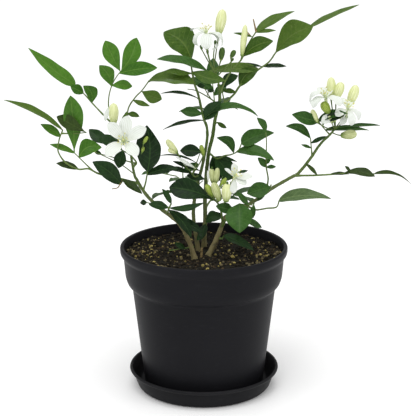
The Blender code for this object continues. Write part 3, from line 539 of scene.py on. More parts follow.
def makeLimb(name, points, radii, span, after=None):
    # span is how green the bark is at the limb's foot and tip: 0 is tan and 1 is green;
    # a limb after another goes on from its tip
    if after:
        tip, grown = alongPath(limbs[after]["path"], 1)
        points = [tip + grown * gap, tip + grown * (gap + 3), *points]
    limbs[name] = {"path": smoothPath(points, bark["coarse"]), "radii": radii}
    fine = smoothPath(points, bark["fine"])
    if not after:
        fine = np.vstack([fine[0] - (0, 0, bark["intoSoil"]), fine])
    length = np.linalg.norm(np.diff(fine, axis=0), axis=1).sum()
    seed = 20 + len(limbs)
    rings = tubeRings(fine, radii, bark["sides"], limbRelief(radii(0.5), seed, length))
    heap = Heap(name + "_bark", "bark" if span[0] < 0.3 else "green_bark", barkMat, nodes=[name])
    made = skin(rings)
    plan = np.zeros_like(made[0])
    plan[:, 0] = np.append(np.repeat(np.linspace(*span, len(fine)), bark["sides"]), span)
    heap.add(made, plan)
    heap.build()


def makeLimbs():
    ground = soil["level"] + gap
    rows = (    # points, radius, span, and the limb that it goes on from
        ("left_stem", [(-8, -18, ground), (-11, -18, 135), (-15, -19, 146), (-21, -20, 157),
                       (-29, -21, 165), (-39, -22, 173), (-47, -23, 181), (-54, -24, 191),
                       (-58, -25, 199)], flared(2.2, 1.3), (0.0, 0.75)),
        ("right_stem", [(4, -8, ground), (9, -8, 135), (14, -9, 147), (18, -10, 158)],
         flared(2.5, 1.9), (0.0, 0.35)),
        ("mid_stem_left", [(-5, 8, ground), (-9, 9, 151), (-9, 9, 166), (-6, 10, 184), (-2, 10, 200),
                           (2, 8, 220), (3, 7, 236), (0, 6, 246), (-2, 5, 255), (-5, 5, 268),
                           (-8, 4, 277), (-10, 3, 288)], flared(1.8, 0.9), (0.2, 1.3)),
        ("mid_stem_right", [(0, 15, ground), (1, 16, 150), (1, 17, 166), (2, 17, 188), (4, 17, 211),
                            (8, 16, 229), (10, 15, 244), (14, 14, 261), (13, 13, 275)],
         flared(2.1, 1.3), (0.2, 1.3)),
        ("left_bough", [(-62, -19, 212), (-64, -14, 222), (-69, -10, 233), (-76, -9, 241)],
         taper(1.2, 0.8), (0.75, 1.0), "left_stem"),
        ("right_bough", [(34, -4, 168), (46, 2, 173), (62, 5, 184), (81, 6, 195)],
         taper(1.7, 1.4), (0.35, 0.7), "right_stem"),
        ("right_upper_bough", [(94, 8, 209), (103, 10, 222), (110, 11, 229)],
         taper(1.4, 1.1), (0.7, 0.9), "right_bough"))
    for row in rows:
        makeLimb(*row)


# Finishes of leaves and blossom

# dark is partly painted shade, for leaves deep in the crown, and pale is partly a painted grey sheen
leafTints = {   # upper side dark and light, and the underside, as a screen shows them
    "fresh": ((52, 96, 24), (86, 132, 42), (104, 132, 68)),
    "olive": ((50, 80, 20), (84, 112, 40), (104, 122, 66)),
    "pale": ((56, 80, 42), (104, 128, 82), (126, 142, 98)),
    "lime": ((60, 88, 28), (98, 124, 58), (116, 132, 78)),
    "mid": ((30, 62, 18), (62, 100, 40), (84, 112, 64)),
    "dusk": ((30, 48, 14), (56, 76, 28), (80, 98, 56)),
    "dark": ((15, 36, 14), (38, 68, 30), (62, 86, 50)),
}
budTints = {    # dark and light streaks, and the foot
    "pale": ((208, 216, 142), (239, 243, 197), (146, 168, 78)),
    # this is the pale bud's colour dimmed by painted shade, for buds among the inner sprays
    "shaded": ((158, 168, 106), (214, 220, 166), (116, 138, 66)),
    "yellow": ((122, 146, 48), (172, 190, 92), (96, 122, 42)),
    "green": ((48, 74, 26), (86, 114, 48), (70, 96, 38)),
}
plainTints = {  # piece, slot, dark and light, and gloss
    "throats": ("flower_tubes", "blossom", (196, 212, 150), (230, 236, 205), 0.3),
    "stamens": ("stamens", "blossom", (206, 220, 160), (236, 242, 208), 0.3),
    "anthers": ("anthers", "blossom", (196, 194, 110), (228, 224, 158), 0.2),
    "calyxes": ("calyxes", "foliage", (88, 116, 46), (136, 158, 80), 0.3),
    "dry": ("dry_bits", "bark", (96, 78, 50), (168, 146, 100), 0.2),
}
blade = {"along": 30, "across": 9}      # points of a blade's grid
leafPlan = {"thick": 0.3, "wave": 0.07, "twist": 12, "form": {"curl": 1.25}, "rib": 0.07, "veins": 9,
            "veinGap": 4.2, "veinShare": 0.3}
petalPlan = {"thick": 0.32, "wave": 0.09, "twist": 14, "form": {"peak": 0.68, "fullness": 0.7, "curl": 1.6}}


def leafPaint(where, plan, dark, light, pale):
    # a leaf's face: lighter midrib and side veins, soft mottling that is partly painted highlight and
    # shade, a thin pale edge
    x, t, tone = abs(plan.part(0)), plan.part(1), plan.part(2)
    wave = ((t - 0.2 * x) * leafPlan["veins"]).fraction()
    vein = (1 - abs(wave - 0.5) * 2).rise(0.78, 1.0) * (1 - x.rise(0.6, 0.95))
    rib = 1 - x.rise(0.02, 0.1)
    # this noise tints the leaf as mottling and also as painted highlight and shade
    mottleAndPaintedLight = where.noise(260, 3, 0.6)
    colour = (0.42 + tone * 0.35 + (mottleAndPaintedLight - 0.5) * 1.2 + x.rise(0.9, 1.0) * 0.25).tint(dark, light)
    share = leafPlan["veinShare"]
    colour = (vein * share + rib * share * 1.6).tint(colour, pale)
    bump = mottleAndPaintedLight * 0.3 - vein * 0.5 + where.noise(2200, 2) * 0.15
    return {"colour": colour, "rough": 0.3 + mottleAndPaintedLight * 0.16, "bump": (bump, 0.1)}


def ribPaint(where, plan, light, pale):
    return {"colour": (where.noise(400, 2) * 0.5 + 0.1).tint(light, pale),
            "rough": 0.45 + where.noise(900, 2) * 0.2}


def petalPaint(where, plan):
    # white with faint lengthwise veins that also stand for painted shade in the folds, green toward the
    # claw
    x, t = plan.part(0), plan.part(1)
    # the grey-green lengthwise lines are veins and also painted shade in the petal's folds
    veinsAndFoldShade = (x * 21).sine().rise(0.2, 1.0)
    claw = 1 - t.rise(0.04, 0.3)
    colour = (veinsAndFoldShade * 0.45 + where.noise(240, 3) * 0.4).tint((241, 244, 241), (200, 210, 190))
    colour = (claw * 0.6).tint(colour, (196, 214, 150))
    return {"colour": colour, "rough": 0.45 + where.noise(900, 2) * 0.15,
            "bump": (veinsAndFoldShade * 0.6 + where.noise(1600, 2) * 0.3, 0.12)}


def budPaint(where, plan, dark, light, foot):
    # fine lengthwise streaks, greener at the foot; plan is the turn round the bud and the way up it
    streak = plan.stretch(3.2, 3.2, 0.7).noise(2.2, 3, 0.6)
    colour = streak.rise(0.35, 0.65).tint(dark, light)
    colour = ((1 - plan.part(2).rise(0.0, 0.4)) * 0.75).tint(colour, foot)
    return {"colour": colour, "rough": 0.42 + streak * 0.2, "bump": (streak, 0.25)}


def twigPaint(where, plan):
    # green shoots with fine pale streaks
    streak = where.noise(700, 3, 0.6)
    patch = where.noise(90, 3)
    colour = (streak * 0.6 + patch * 0.5 - 0.1).tint((56, 84, 26), (124, 144, 76))
    return {"colour": colour, "rough": 0.45 + streak * 0.2, "bump": (streak, 0.15)}


def plainPaint(where, plan, dark, light):
    speck = where.noise(700, 3, 0.6)
    colour = speck.rise(0.3, 0.7).tint(dark, light)
    return {"colour": colour, "rough": 0.5 + speck * 0.15, "bump": (speck, 0.1)}


def makeHeaps():
    # an empty heap for each tint of leaf, the twigs, the petals, each kind of bud and the fine parts
    made = {}
    for tint, (dark, light, under) in leafTints.items():
        made[tint] = Heap(f"leaves_{tint}", "foliage",
                          finish(f"leaf_{tint}", 0.14, leafPaint, dark, light, under),
                          finish(f"leafUnder_{tint}", 0.06, leafPaint, light, under, under),
                          finish(f"leafRib_{tint}", 0.08, ribPaint, light, under))
    made["twigs"] = Heap("twigs", "green_bark", finish("twig", 0.3, twigPaint))
    made["petals"] = Heap("petals", "blossom", finish("petal", 0.15, petalPaint))
    for budKind, tints in budTints.items():
        made[budKind + "Buds"] = Heap(f"{budKind}_buds", "blossom", finish(f"{budKind}Bud", 0.2, budPaint, *tints))
    for kind, (piece, slot, dark, light, gloss) in plainTints.items():
        made[kind] = Heap(piece, slot, finish(kind, gloss, plainPaint, dark, light))
    return made


heaps = makeHeaps()


# Leaves

def heading(bear, toward):  # a direction from its bearing in the front view and its lean to the viewer
    b, w = math.radians(bear), math.radians(toward)
    return np.array((math.cos(b) * math.cos(w), -math.sin(w), math.sin(b) * math.cos(w)))


def faceOf(along, tilt):
    # the direction that a blade's upper face looks in: the viewer at a tilt of 0, the sky at 90
    front = np.array((0, -1, 0)) + along * along[1]
    front = unit(front) if np.linalg.norm(front) > 0.05 else np.array((0.0, 0.0, 1.0))
    side = np.cross(front, along)
    side = -side if side[2] < 0 else side
    turn = math.radians(tilt)
    return unit(front * math.cos(turn) + side * math.sin(turn))


def bladePoints(base, chord, face, length, width, bend, fold, t, x, peak=0.5, fullness=0.85, sway=0.0,
                twist=0.0, curl=1.0):
    # the mid surface of a blade on a grid of t along it and x across it, its normal and its half width:
    # the midrib bows off the chord by the bend, the halves fold up by the fold, and the width is a sine
    # moved to its peak
    bow = math.radians(bend if abs(bend) > 0.01 else 0.01)
    rise = bow * (0.5 - t)
    run = (math.sin(bow / 2) - np.sin(rise)) / bow
    climb = (np.cos(rise) - math.cos(bow / 2)) / bow
    across = np.cross(face, chord)
    mid = (base - chord * 0.3 + np.outer(run, chord) * length + np.outer(climb, face) * length
           + np.outer(sway * length * np.sin(np.pi * t), across))
    normal = np.outer(np.cos(rise), face) - np.outer(np.sin(rise), chord)
    turn = np.radians(twist) * (t - 0.3)
    side = np.outer(np.cos(turn), across) + normal * np.sin(turn)[:, None]
    normal = normal * np.cos(turn)[:, None] - np.outer(np.sin(turn), across)
    half = 0.5 * width * np.sin(np.pi * np.clip(t, 0, 1) ** (math.log(0.5) / math.log(peak))) ** fullness
    half = np.maximum(half, 0.4 * (1 - t) ** 0.5)[:, None]
    lift, spread = math.sin(math.radians(fold)), math.cos(math.radians(fold))
    points = (mid[:, None] + side[:, None] * (half * spread * x)[..., None]
              + normal[:, None] * (half * lift * np.abs(x) ** curl)[..., None])
    return points, normal[:, None], half


def bladeForm(plan, **form):    # a blade's form by its plan, with a slight twist of its own
    return {**plan["form"], **form, "twist": grain.uniform(-plan["twist"], plan["twist"])}


def addBlade(heap, at, form, plan, veined=False):
    # a closed fine blade: the upper side, then the underside, round one section
    phase, tone = grain.uniform(), grain.uniform(-1, 1)
    n, m = blade["along"], blade["across"]
    eased = 0.5 - 0.5 * np.cos(np.pi * np.linspace(0.0, 0.985, n))
    t = 0.35 * eased + 0.65 * np.linspace(0.0, 0.992, n)
    x = np.sin(np.linspace(np.pi / 2, -np.pi / 2, m))
    points, normal, half = bladePoints(*at, t, x, **form)
    edge = x ** 2 * np.sign(x + 0.01)
    push = plan["wave"] * half * (np.sin(2 * np.pi * (1.7 * t[:, None] + phase)) * edge
                                  + 0.5 * np.sin(2 * np.pi * (3.1 * t[:, None] - phase)) * x ** 2)
    if veined:      # the face swells between its side veins and sinks along its midrib
        count = max(4, round(at[3] / plan["veinGap"]))
        comb = np.cos(2 * np.pi * count * (t[:, None] - 0.2 * np.abs(x)))
        push = push + 0.035 * half * comb * (1 - np.abs(x)) * (np.abs(x) > 0.05)
        push = push - plan["rib"] * half * np.exp(-(x / 0.12) ** 2)
    points = points + normal * push[..., None]
    body = 0.5 * plan["thick"] * (1 - 0.5 * x ** 2) * np.clip(1 - t, 0.25, 1)[:, None] ** 0.3
    upper, lower = points + normal * body[..., None], (points - normal * body[..., None])[:, ::-1]
    rings = np.concatenate([upper, lower], 1)
    tip = bladePoints(*at, np.array([1.0]), np.array([0.0]), **form)[0][0, 0]
    grid = np.zeros((n, 2 * m, 3))
    grid[..., 0] = np.concatenate([x, x[::-1]])
    grid[..., 1] = t[:, None]
    grid[..., 2] = tone
    grid = np.vstack([grid.reshape(-1, 3), (0, 0, tone), (0, 1, tone)])
    under = (np.arange(2 * m) >= m - 1) * (1 if len(heap.mats) > 1 else 0)     # the underside's material
    heap.add(skin(rings, None, tip), grid, (np.tile(under, n - 1), np.tile(under, 2)))


def addTube(heap, path, radii, sides=8, relief=None, kind=0):
    # a closed round rod along the path, in the heap's material of that number
    heap.add(skin(tubeRings(np.array(path, float), radii, sides, relief)), kinds=(kind, kind))


# Buds and flowers

budPlan = {"up": (0.0, 0.22, 0.6, 0.9, 1.0), "swell": (0.42, 0.8, 1.0, 0.7, 0.2), "sides": 20,
           "ridge": 0.045, "turn": 1.6, "calyx": 0.2232}
calyx = {"foot": -0.6, "top": 2.2, "teeth": 0.22, "sides": 15, "radius": 1.25}
flower = {"stamens": 10, "reach": (10, 8), "spread": (0.3, 0.7), "filament": (0.3, 0.16),
          "style": (0.55, 0.38), "styleLength": 6.5}


def addBud(heap, base, along, length, width):
    # a slim tube that swells to a blunt head, with five low ridges that turn a little
    curve = smoothPath([(s, r, 0) for s, r in zip(budPlan["up"], budPlan["swell"])], 0.03)
    path = base + np.outer(curve[:, 0] * length, along)
    sides, start = budPlan["sides"], grain.uniform(0, 2 * np.pi)

    def relief(points, t, angle):
        ridges = np.sin(5 * angle + budPlan["turn"] * t + start)
        return 0.5 * width * curve[:, 1:2] * budPlan["ridge"] * ridges
    rings = tubeRings(path, lambda t: 0.5 * width * curve[:, 1], sides, relief)
    plan = np.zeros((len(path), sides, 3))
    plan[..., 0], plan[..., 1] = np.cos(around(sides)), np.sin(around(sides))
    plan[..., 2] = curve[:, :1]
    plan = np.vstack([plan.reshape(-1, 3), (0, 0, 0), (0, 0, 1)])
    heap.add(skin(rings, None, base + along * length * 1.015), plan)
    addCalyx(base, along, budPlan["calyx"] * width)


def addCalyx(base, along, radius):
    # five short green teeth that hold the flower's foot: a cup whose edge waves more the higher it is
    path = base + np.outer(np.linspace(calyx["foot"], calyx["top"], 9), along)

    def cup(t):
        return radius * (0.55 + 0.75 * np.sin(np.pi * np.clip(t, 0, 0.8)) ** 0.7)

    def relief(points, t, angle):
        return radius * calyx["teeth"] * np.cos(5 * angle) * t
    addTube(heaps["calyxes"], path, cup, calyx["sides"], relief)


def addFlower(base, axis, neck, petals):
    # petals on a slim tube, each by its own heading, length, width and curl, then stamens and a pistil
    throat = base + axis * neck
    addCalyx(base, axis, calyx["radius"])
    tube = smoothPath([base - axis * 0.3, base + (throat - base) * 0.6, throat + axis], 0.8)
    addTube(heaps["throats"], tube, lambda t: 0.9 + 0.7 * t ** 1.5, 12)
    for bear, toward, length, width, curl in petals:
        petal = heading(bear, toward)
        face = unit(axis - petal * (axis @ petal))
        at = (throat - petal * 0.8, petal, face, length, width, curl, 12)
        addBlade(heaps["petals"], at, bladeForm(petalPlan), petalPlan)
    side = faceOf(axis, 0)
    across = np.cross(axis, side)
    for k in range(flower["stamens"]):      # a long one, then a short one, in turn
        angle = math.radians(360 / flower["stamens"] * k + 9)
        out = side * math.cos(angle) + across * math.sin(angle)
        spread = grain.uniform(*flower["spread"])
        reach = flower["reach"][k % 2] * grain.uniform(0.9, 1.1)
        way = unit(axis + out * spread)
        path = smoothPath([throat - axis * 0.5, throat + axis * reach * 0.5 + out * spread * reach * 0.3,
                           throat + way * reach], 0.8)
        addTube(heaps["stamens"], path, taper(*flower["filament"]), 6)
        head = path[-1] + np.outer(np.linspace(-0.7, 1.1, 7), unit(way + out * 0.4))
        addTube(heaps["anthers"], head, lambda t: 0.08 + 0.46 * np.sin(np.pi * t) ** 0.6, 8)
    path = throat + np.outer(np.linspace(-1, flower["styleLength"], 9), axis)
    addTube(heaps["stamens"], path, taper(*flower["style"]), 8)
    head = path[-1] + np.outer(np.linspace(-0.5, 1.1, 7), axis)
    addTube(heaps["anthers"], head, lambda t: 0.2 + 0.62 * np.sin(np.pi * t) ** 0.6, 10)


# Sprays

shoot = {"coarse": 6, "fine": 0.9, "sides": 10, "collar": 1.5, "goldenAngle": 137.5}


class Spray:    # one mass: a stem, the pinnate leaves on it and its blossom
    def __init__(self, name, seat, points, thick, tint):
        # seat is a limb and the share of its length where the stem leaves it: at 1 it goes on from the tip,
        # before that it starts on the bark, with a collar round its foot; thick is its radius at both ends
        self.name, self.tint = name, tint
        limb, at = seat
        foot, grown = alongPath(limbs[limb]["path"], at)
        points = [np.array(p, float) for p in points]
        out = unit(points[0] - foot)
        if at < 1:
            slant = abs(out @ grown)
            reach = limbs[limb]["radii"](at) + gap + thick[0] * slant
            start = foot + out * (reach / max(0.3, math.sqrt(1 - slant * slant)))
            points = [start, *points]
            collar = smoothPath([foot + out * 0.2, start, start + out * 2.5], 0.5)
            addTube(heaps["twigs"], collar, taper(shoot["collar"] * thick[0], thick[0]), 12)
        else:
            points = [foot + grown * gap, foot + grown * (gap + 3), *points]
        self.path = smoothPath(points, shoot["coarse"])
        fine = smoothPath(points, shoot["fine"])
        if at == 1:
            fine = np.vstack([foot - grown, fine])
        length = np.linalg.norm(np.diff(fine, axis=0), axis=1).sum()
        relief = limbRelief(0.8 * thick[0], 60 + len(name), length)
        addTube(heaps["twigs"], fine, taper(*thick), shoot["sides"], relief)
        heaps["twigs"].nodes.add(name)

    def leaf(self, base, bear, length, width, tilt, toward=0, bend=24, peak=0.5, sway=0.0, tint=None):
        along = heading(bear, toward)
        fold = jitter.uniform(12, 20)
        self.place((base, along, faceOf(along, tilt), length, width, bend, fold), peak, sway, tint)

    def place(self, at, peak=0.5, sway=0.0, tint=None):
        # one blade with a midrib under it, which stands out from the underside
        heap = heaps[tint or self.tint]
        heap.nodes.add(self.name)
        form = bladeForm(leafPlan, peak=peak, sway=sway + grain.uniform(-0.01, 0.01))
        addBlade(heap, at, form, leafPlan, veined=True)
        line, normal, half = bladePoints(*at, np.linspace(0.0, 0.93, 22), np.array([0.0]), **form)
        line = line[:, 0] - normal[:, 0] * (leafPlan["rib"] * half - 0.03)
        length, width = at[3:5]
        thick = 0.011 * length ** 0.5 * width ** 0.5 + 0.13
        addTube(heap, line, lambda t: thick * (1.25 - t) + 0.05, 7, kind=2)

    def leaves(self, *rows, tint=None):     # single leaves: the share of the stem, then what leaf() takes
        for at, *row in rows:
            self.leaf(alongPath(self.path, at)[0], *row, tint=tint)

    def pinnate(self, at, bear, toward, length, sweep, *leaflets, tint=None):
        # a compound leaf: its rachis leaves the stem, turns by the sweep and carries leaflets, each a row
        # of the share of the rachis, then what leaf() takes
        point = alongPath(self.path, at)[0]
        rachis = [point]
        steps = max(2, round(length / 5))
        for k in range(steps):
            point = point + heading(bear + sweep * (k + 0.5) / steps, toward) * (length / steps)
            rachis.append(point)
        rachis = np.array(rachis)
        addTube(heaps["twigs"], smoothPath(rachis, 1.2), lambda t: 0.62 - 0.2 * t + 0.35 * (1 - t) ** 8, 8)
        for share, *row in leaflets:
            self.leaf(alongPath(rachis, share)[0], *row, tint=tint)

    def stalk(self, at, head):      # a thin stalk from the stem to a bud's or flower's foot
        foot = alongPath(self.path, at)[0]
        head = np.array(head, float)
        bow = (foot + head) / 2 + (0, 0, -0.06 * np.linalg.norm(head - foot))
        path = smoothPath([foot, bow, head], 0.9)
        addTube(heaps["twigs"], path, lambda t: 0.5 + 0.35 * t ** 6 + 0.25 * (1 - t) ** 10, 8)
        return head

    def buds(self, *rows):
        # each a share of the stem, the bud's foot, bearing, length and width, and its kind if not pale
        for at, foot, bear, length, width, *budKind in rows:
            heap = heaps[(budKind or ["pale"])[0] + "Buds"]
            heap.nodes.add(self.name)
            addBud(heap, self.stalk(at, foot), heading(bear, 0), length, width)

    def flower(self, at, head, bear, toward, neck, *petals):    # what addFlower() takes, on a stalk
        addFlower(self.stalk(at, head), heading(bear, toward), neck, petals)
        heaps["petals"].nodes.add(self.name)

    def clear(self, points):
        # true when none of the points lies in or against a stem or bough
        for limb in limbs.values():
            path = limb["path"]
            legs = len(path) - 1
            for k in range(legs):
                leg = path[k + 1] - path[k]
                share = (points - path[k]) @ leg / (leg @ leg)
                away = np.linalg.norm(points - path[k] - share[..., None] * leg, axis=-1)
                if np.any((share >= 0) & (share <= 1) & (away < limb["radii"](k / legs) + 0.5)):
                    return False
        return True

    def grow(self, seed, pairs, leaflet, rise, space):
        # compound leaves round the stem by the golden angle, each kept only inside the space
        rng = random.Random(seed)
        low, high = np.array(space, float)
        for k in range(pairs):
            at = 0.25 + 0.75 * k / (pairs - 1)
            point, ahead = alongPath(self.path, at)
            side = unit(np.cross(ahead, (0, 0, 1)))
            angle = math.radians(shoot["goldenAngle"] * k + rng.uniform(-15, 15))
            out = side * math.cos(angle) + np.cross(ahead, side) * math.sin(angle)
            out = unit(out + ahead * 0.9 + np.array((0, 0, rise)))
            end = point + out * leaflet * 0.9
            addTube(heaps["twigs"], smoothPath([point, (point + end) / 2, end], 1.2), taper(0.6, 0.45), 8)
            flat = unit(np.array((0, 0, 1)) - out * out[2])
            across = np.cross(out, flat)
            for m, (share, turn) in enumerate(((0.45, 58), (0.7, -56), (1.0, 6))):
                turn = math.radians(turn + rng.uniform(-8, 8))
                along = out * math.cos(turn) + across * math.sin(turn)
                size = leaflet * (0.72 + 0.22 * m) * rng.uniform(0.9, 1.1)
                face = unit(flat - along * (flat @ along))
                bend = rng.uniform(15, 40)
                at = (point + (end - point) * share, along, face, size, 0.46 * size, bend, 15)
                points = bladePoints(*at, np.array([0.17, 0.5, 0.83, 1.0]), np.array([-1.0, 0, 1]))[0]
                if np.all((points >= low) & (points <= high)) and self.clear(points.reshape(-1, 3)):
                    self.place(at)


def leftSprays():
    spray = Spray("left_long", ("left_stem", 0.95),
                  [(-72, -31, 201), (-89, -35, 206), (-98, -37, 211), (-107, -38, 211), (-117, -40, 217),
                   (-123, -41, 227), (-122, -40, 237), (-119, -39, 245)], (1.0, 0.55), "fresh")
    spray.pinnate(0.12, 235, 25, 5, 0, (1, 138, 33, 15, 25, 8, 50, 0.5, -0.04), tint="dark")
    spray.pinnate(0.42, 133, 5, 22, 0, (0.74, 21, 22, 15, 25, -20, 24, 0.5, 0.22), (0.97, 160, 23, 7, 50),
                  (1, 91, 52, 18.5, 15, 10, 10, 0.66, -0.01))
    spray.pinnate(0.97, 0, 14, 22, 10, (1, 148, 29, 12.5, 25, 12, 20, 0.65), tint="dusk")
    spray.leaves((0.14, -32, 23, 8, 45, 20, 20, 0.5, -0.03), (0.55, 165, 20, 8, 50), tint="dusk")
    spray.leaves((0.94, 147, 20, 8, 35, 0, -8, 0.45, -0.05))
    spray.leaves((1, 151, 56, 9.5, 66, 5, 12, 0.45, -0.06), tint="olive")

    spray = Spray("left_crown", ("left_bough", 1),
                  [(-89, -7, 254), (-98, -3, 263), (-103, 0, 268), (-112, 4, 276)], (0.85, 0.5), "fresh")
    spray.pinnate(0.04, 118, -6, 51, -72, (0.68, 115, 24, 12.5, 20, 20, 20, 0.6, -0.1),
                  (0.7, -5, 19, 9, 25, -20, 20, 0.55, 0.04), (0.94, 11, 36, 13, 25, 16, 12, 0.55, 0.03),
                  (0.98, 116, 30, 15, 10, -6, 20, 0.62, 0.02), (1, 64, 32, 16, 12, -14, 20, 0.58, -0.09))
    spray.leaves((0.58, 114, 17.5, 12, 30, 10, 30, 0.5, -0.19), (0.8, 150, 13, 9.5, 30, 6),
                 (1, 139, 52, 14, 40, 8, 4, 0.35, 0.03))

    spray = Spray("left_arch", ("left_bough", 0.6),
                  [(-66, -2, 240), (-66, 1, 255), (-60, 3, 265), (-54, 5, 271), (-48, 6, 279)],
                  (0.8, 0.5), "olive")
    spray.leaves((0.46, 235, 11, 4, 50, 20, 24, 0.5, 0.11), (0.42, -14, 11, 6, 40),
                 (0.64, -18, 16, 5.5, 40, 10, 14, 0.5, -0.06),
                 (0.82, -20, 20, 12, 20, 12, 20, 0.62, -0.06), (1, -1, 45, 20, 62, 16, 60),
                 (0.97, 24, 24, 4, 50, -16))

    spray = Spray("left_bloom", ("left_bough", 0.22),
                  [(-58, -23, 213), (-61, -25, 218), (-64, -26, 222)], (0.85, 0.6), "dark")
    spray.pinnate(0.2, 168, -14, 32, 0, (1, 158, 7, 4, 30), tint="mid")
    spray.pinnate(0.9, 150, 0, 20, 0, (0.4, 150, 24, 13, 45, -8),
                  (1, 150, 23, 11.5, 35, -20, 24, 0.5, 0.09), (0.35, 255, 16, 11.5, 15, 10))
    spray.flower(1.0, (-67, -23, 228.5), 98, 60, 9, (82, 4, 25, 11.5, 30), (36, 20, 27, 11.5, 34),
                 (125, 20, 25.5, 11, 30), (209, 43, 25, 12, 40), (326, 46, 23, 11.5, 44))
    spray.buds((0.95, (-77, -23, 247), 89, 18, 8.4))

    spray = Spray("left_inner", ("left_stem", 0.87),
                  [(-50, -28, 197), (-48, -32, 208)], (0.75, 0.6), "dark")
    spray.leaves((0.98, 90, 41, 24, 15, 2, 15, 0.5, -0.06), (0.8, 14, 29, 9.5, 45, 10, 25, 0.45, 0.03))

    spray = Spray("left_low", ("left_stem", 0.55),
                  [(-31, -29, 171), (-30, -33, 175), (-28, -32, 179)], (0.9, 0.7), "dark")
    spray.leaves((0.75, 168, 18.5, 9, 45, 6, 24, 0.55), (1, 120, 16, 6, 35, 4, 20),
                 (0.75, 12, 32, 6.5, 40, 12, -10, 0.5, -0.08),
                 (0.55, -50, 31.5, 11, 35, 8, 24, 0.5, 0.09))
    spray.pinnate(0.75, 166, 0, 20, 0, (1, 182, 6, 5.5, 35, 8))


def middleSprays():
    spray = Spray("top_left", ("mid_stem_left", 1), [(-11, 8, 297)], (0.8, 0.6), "olive")
    spray.leaves((1, 135.5, 35.5, 26.5, 25, -16, 30, 0.55, -0.15))

    spray = Spray("centre_left", ("mid_stem_left", 0.9),
                  [(-9, 0, 280), (-10, -3, 288.5)], (0.7, 0.5), "olive")
    spray.leaves((1, -13, 30, 12, 35, 10, 16, 0.5, -0.07), (0.9, 174, 23, 6, 50, 8, 10, 0.5, 0.05))

    spray = Spray("centre_thin", ("mid_stem_left", 0.845), [(-5, 2, 264.6)], (0.6, 0.5), "dark")
    spray.leaves((1, 172, 34, 4.7, 65, 4, 34, 0.5, -0.04))

    spray = Spray("centre_arch", ("mid_stem_left", 0.74),
                  [(1, 0, 245), (0, -3, 247), (-1, -4, 252)], (0.8, 0.7), "mid")
    spray.leaves((0.6, 4, 54, 13, 75, 6, 96), (1, 171, 20, 9.5, 30, 6, 20, 0.55))
    spray.leaves((0.45, 192, 38.5, 6, 68, 6, 30), (0.62, 48, 24, 13, 25, 14, 20), tint="dark")

    spray = Spray("top_bloom", ("mid_stem_right", 1), [(10, 11, 285), (7, 9, 292)], (0.9, 0.7), "olive")
    spray.pinnate(0.55, 145, 48, 11, 15, (1, 165.5, 47, 14.5, 66, 6, 36), tint="mid")
    spray.flower(1, (2.8, 1.5, 307.7), 92, 12, 12, (235, 10, 23, 8, 215), (168, -45, 22, 8, 90),
                 (270, 50, 22, 11, 150), (325, 0, 23, 9, 155), (290, -10, 24, 8, 200))
    spray.buds((0.8, (12.6, 10, 319), 80, 22, 9.2), (0.5, (15, 8, 297.5), 83, 11, 5.5, "green"))

    spray = Spray("top_middle", ("mid_stem_right", 0.95),
                  [(20, 14, 280), (27, 14, 291), (33, 14, 297), (38, 14, 309), (45.5, 13, 321.5)],
                  (0.8, 0.55), "olive")
    spray.leaves((1, 25, 40.5, 10, 45, -20, 14, 0.38, 0.03), (0.98, 7, 18.5, 4.5, 45, 10, 14),
                 (0.9, 167, 18, 3.5, 45, 10, 10), (0.56, 31, 33, 14.5, 30, 20, 24, 0.58, 0.08))
    spray.buds((0.5, (33.2, 11, 300.5), 84, 27, 5.6), (0.3, (23.6, 7, 299.7), 61, 7.2, 4.5, "green"))

    spray = Spray("stem_leaf", ("mid_stem_right", 0.76), [(12, 11.5, 241.5)], (0.6, 0.5), "olive")
    spray.leaves((1, -31, 10, 4.7, 35, 10, 14, 0.5, -0.05))

    spray = Spray("top_right", ("mid_stem_right", 0.86),
                  [(20, 19, 259), (27, 22, 265), (33, 24, 273), (48, 30, 285), (58, 33, 292),
                   (66, 36, 302), (80, 42, 311), (91, 45, 319)], (1.1, 0.5), "olive")
    spray.leaves((0.18, 172, 13.5, 5.5, 40, 10, 20), (0.24, 41, 22, 13.5, 20, -10, 20, 0.5, 0.17),
                 (0.66, 37, 41.5, 25, 35, 6, 16, 0.6, 0.11))
    spray.leaves((0.46, 180.5, 46, 11, 35, 10, 14, 0.42, -0.02), (1, 25, 52.5, 8, 60, 0, 6, 0.45, 0.02),
                 tint="lime")
    spray.leaves((0.5, 0, 22, 6, 55, -6, 14), (0.5, 175, 26, 4.5, 55, 0, 14), tint="dark")
    spray.pinnate(0.05, 110, 0, 13, -20, (1, 40, 18.5, 10.5, 25, 6, 20, 0.55, 0.14), tint="dark")

    spray = Spray("middle_right", ("mid_stem_right", 0.58),
                  [(12, 10, 209), (18, 4, 213), (24, 0, 215), (30, -3, 219), (33, -3, 225.6)],
                  (0.85, 0.5), "mid")
    spray.leaves((0.7, 136, 21.5, 9, 25, 5, 30, 0.5, -0.22), (0.79, -10, 36, 12.5, 50, 18, 50, 0.4, 0.06),
                 (1, 14, 32.5, 14.5, 30, -20, 24, 0.3, 0.05))
    spray.leaves((0.17, -50, 25, 17, 25, 10), (0.08, -78, 24, 14, 20, 10), (0.13, -8, 22, 4, 40, 20),
                 tint="dark")

    spray = Spray("low_middle", ("mid_stem_right", 0.13),
                  [(1, 12, 147), (2, 10, 150.5)], (0.8, 0.7), "dark")
    spray.leaves((1, 16, 15, 11, 30, 0, 24, 0.5, 0.22), (0.5, 255, 16, 9, 35, 42))
    spray.pinnate(0.3, 265, 42, 8, 0, (1, 219, 10.5, 6, 35, 30))

    spray = Spray("middle_left", ("mid_stem_left", 0.42),
                  [(-8, 4, 194), (-10, 1, 197)], (0.9, 0.7), "dark")
    spray.leaves((1, 169, 30, 7.5, 65, 8, 20, 0.5, -0.04))
    spray.pinnate(1, 71, 5, 22, 0, (0.5, 168, 35, 3.7, 70, 4, 40, 0.5, -0.03), (1, 177, 18.5, 12, 30))
    spray.buds((1, (-23.5, -2, 217.5), 129, 14.3, 5.8), (1, (-23.5, -2, 217), 159, 8.5, 4.5),
               (1, (-0.3, 2, 213.5), 103, 10, 4.4, "yellow"))


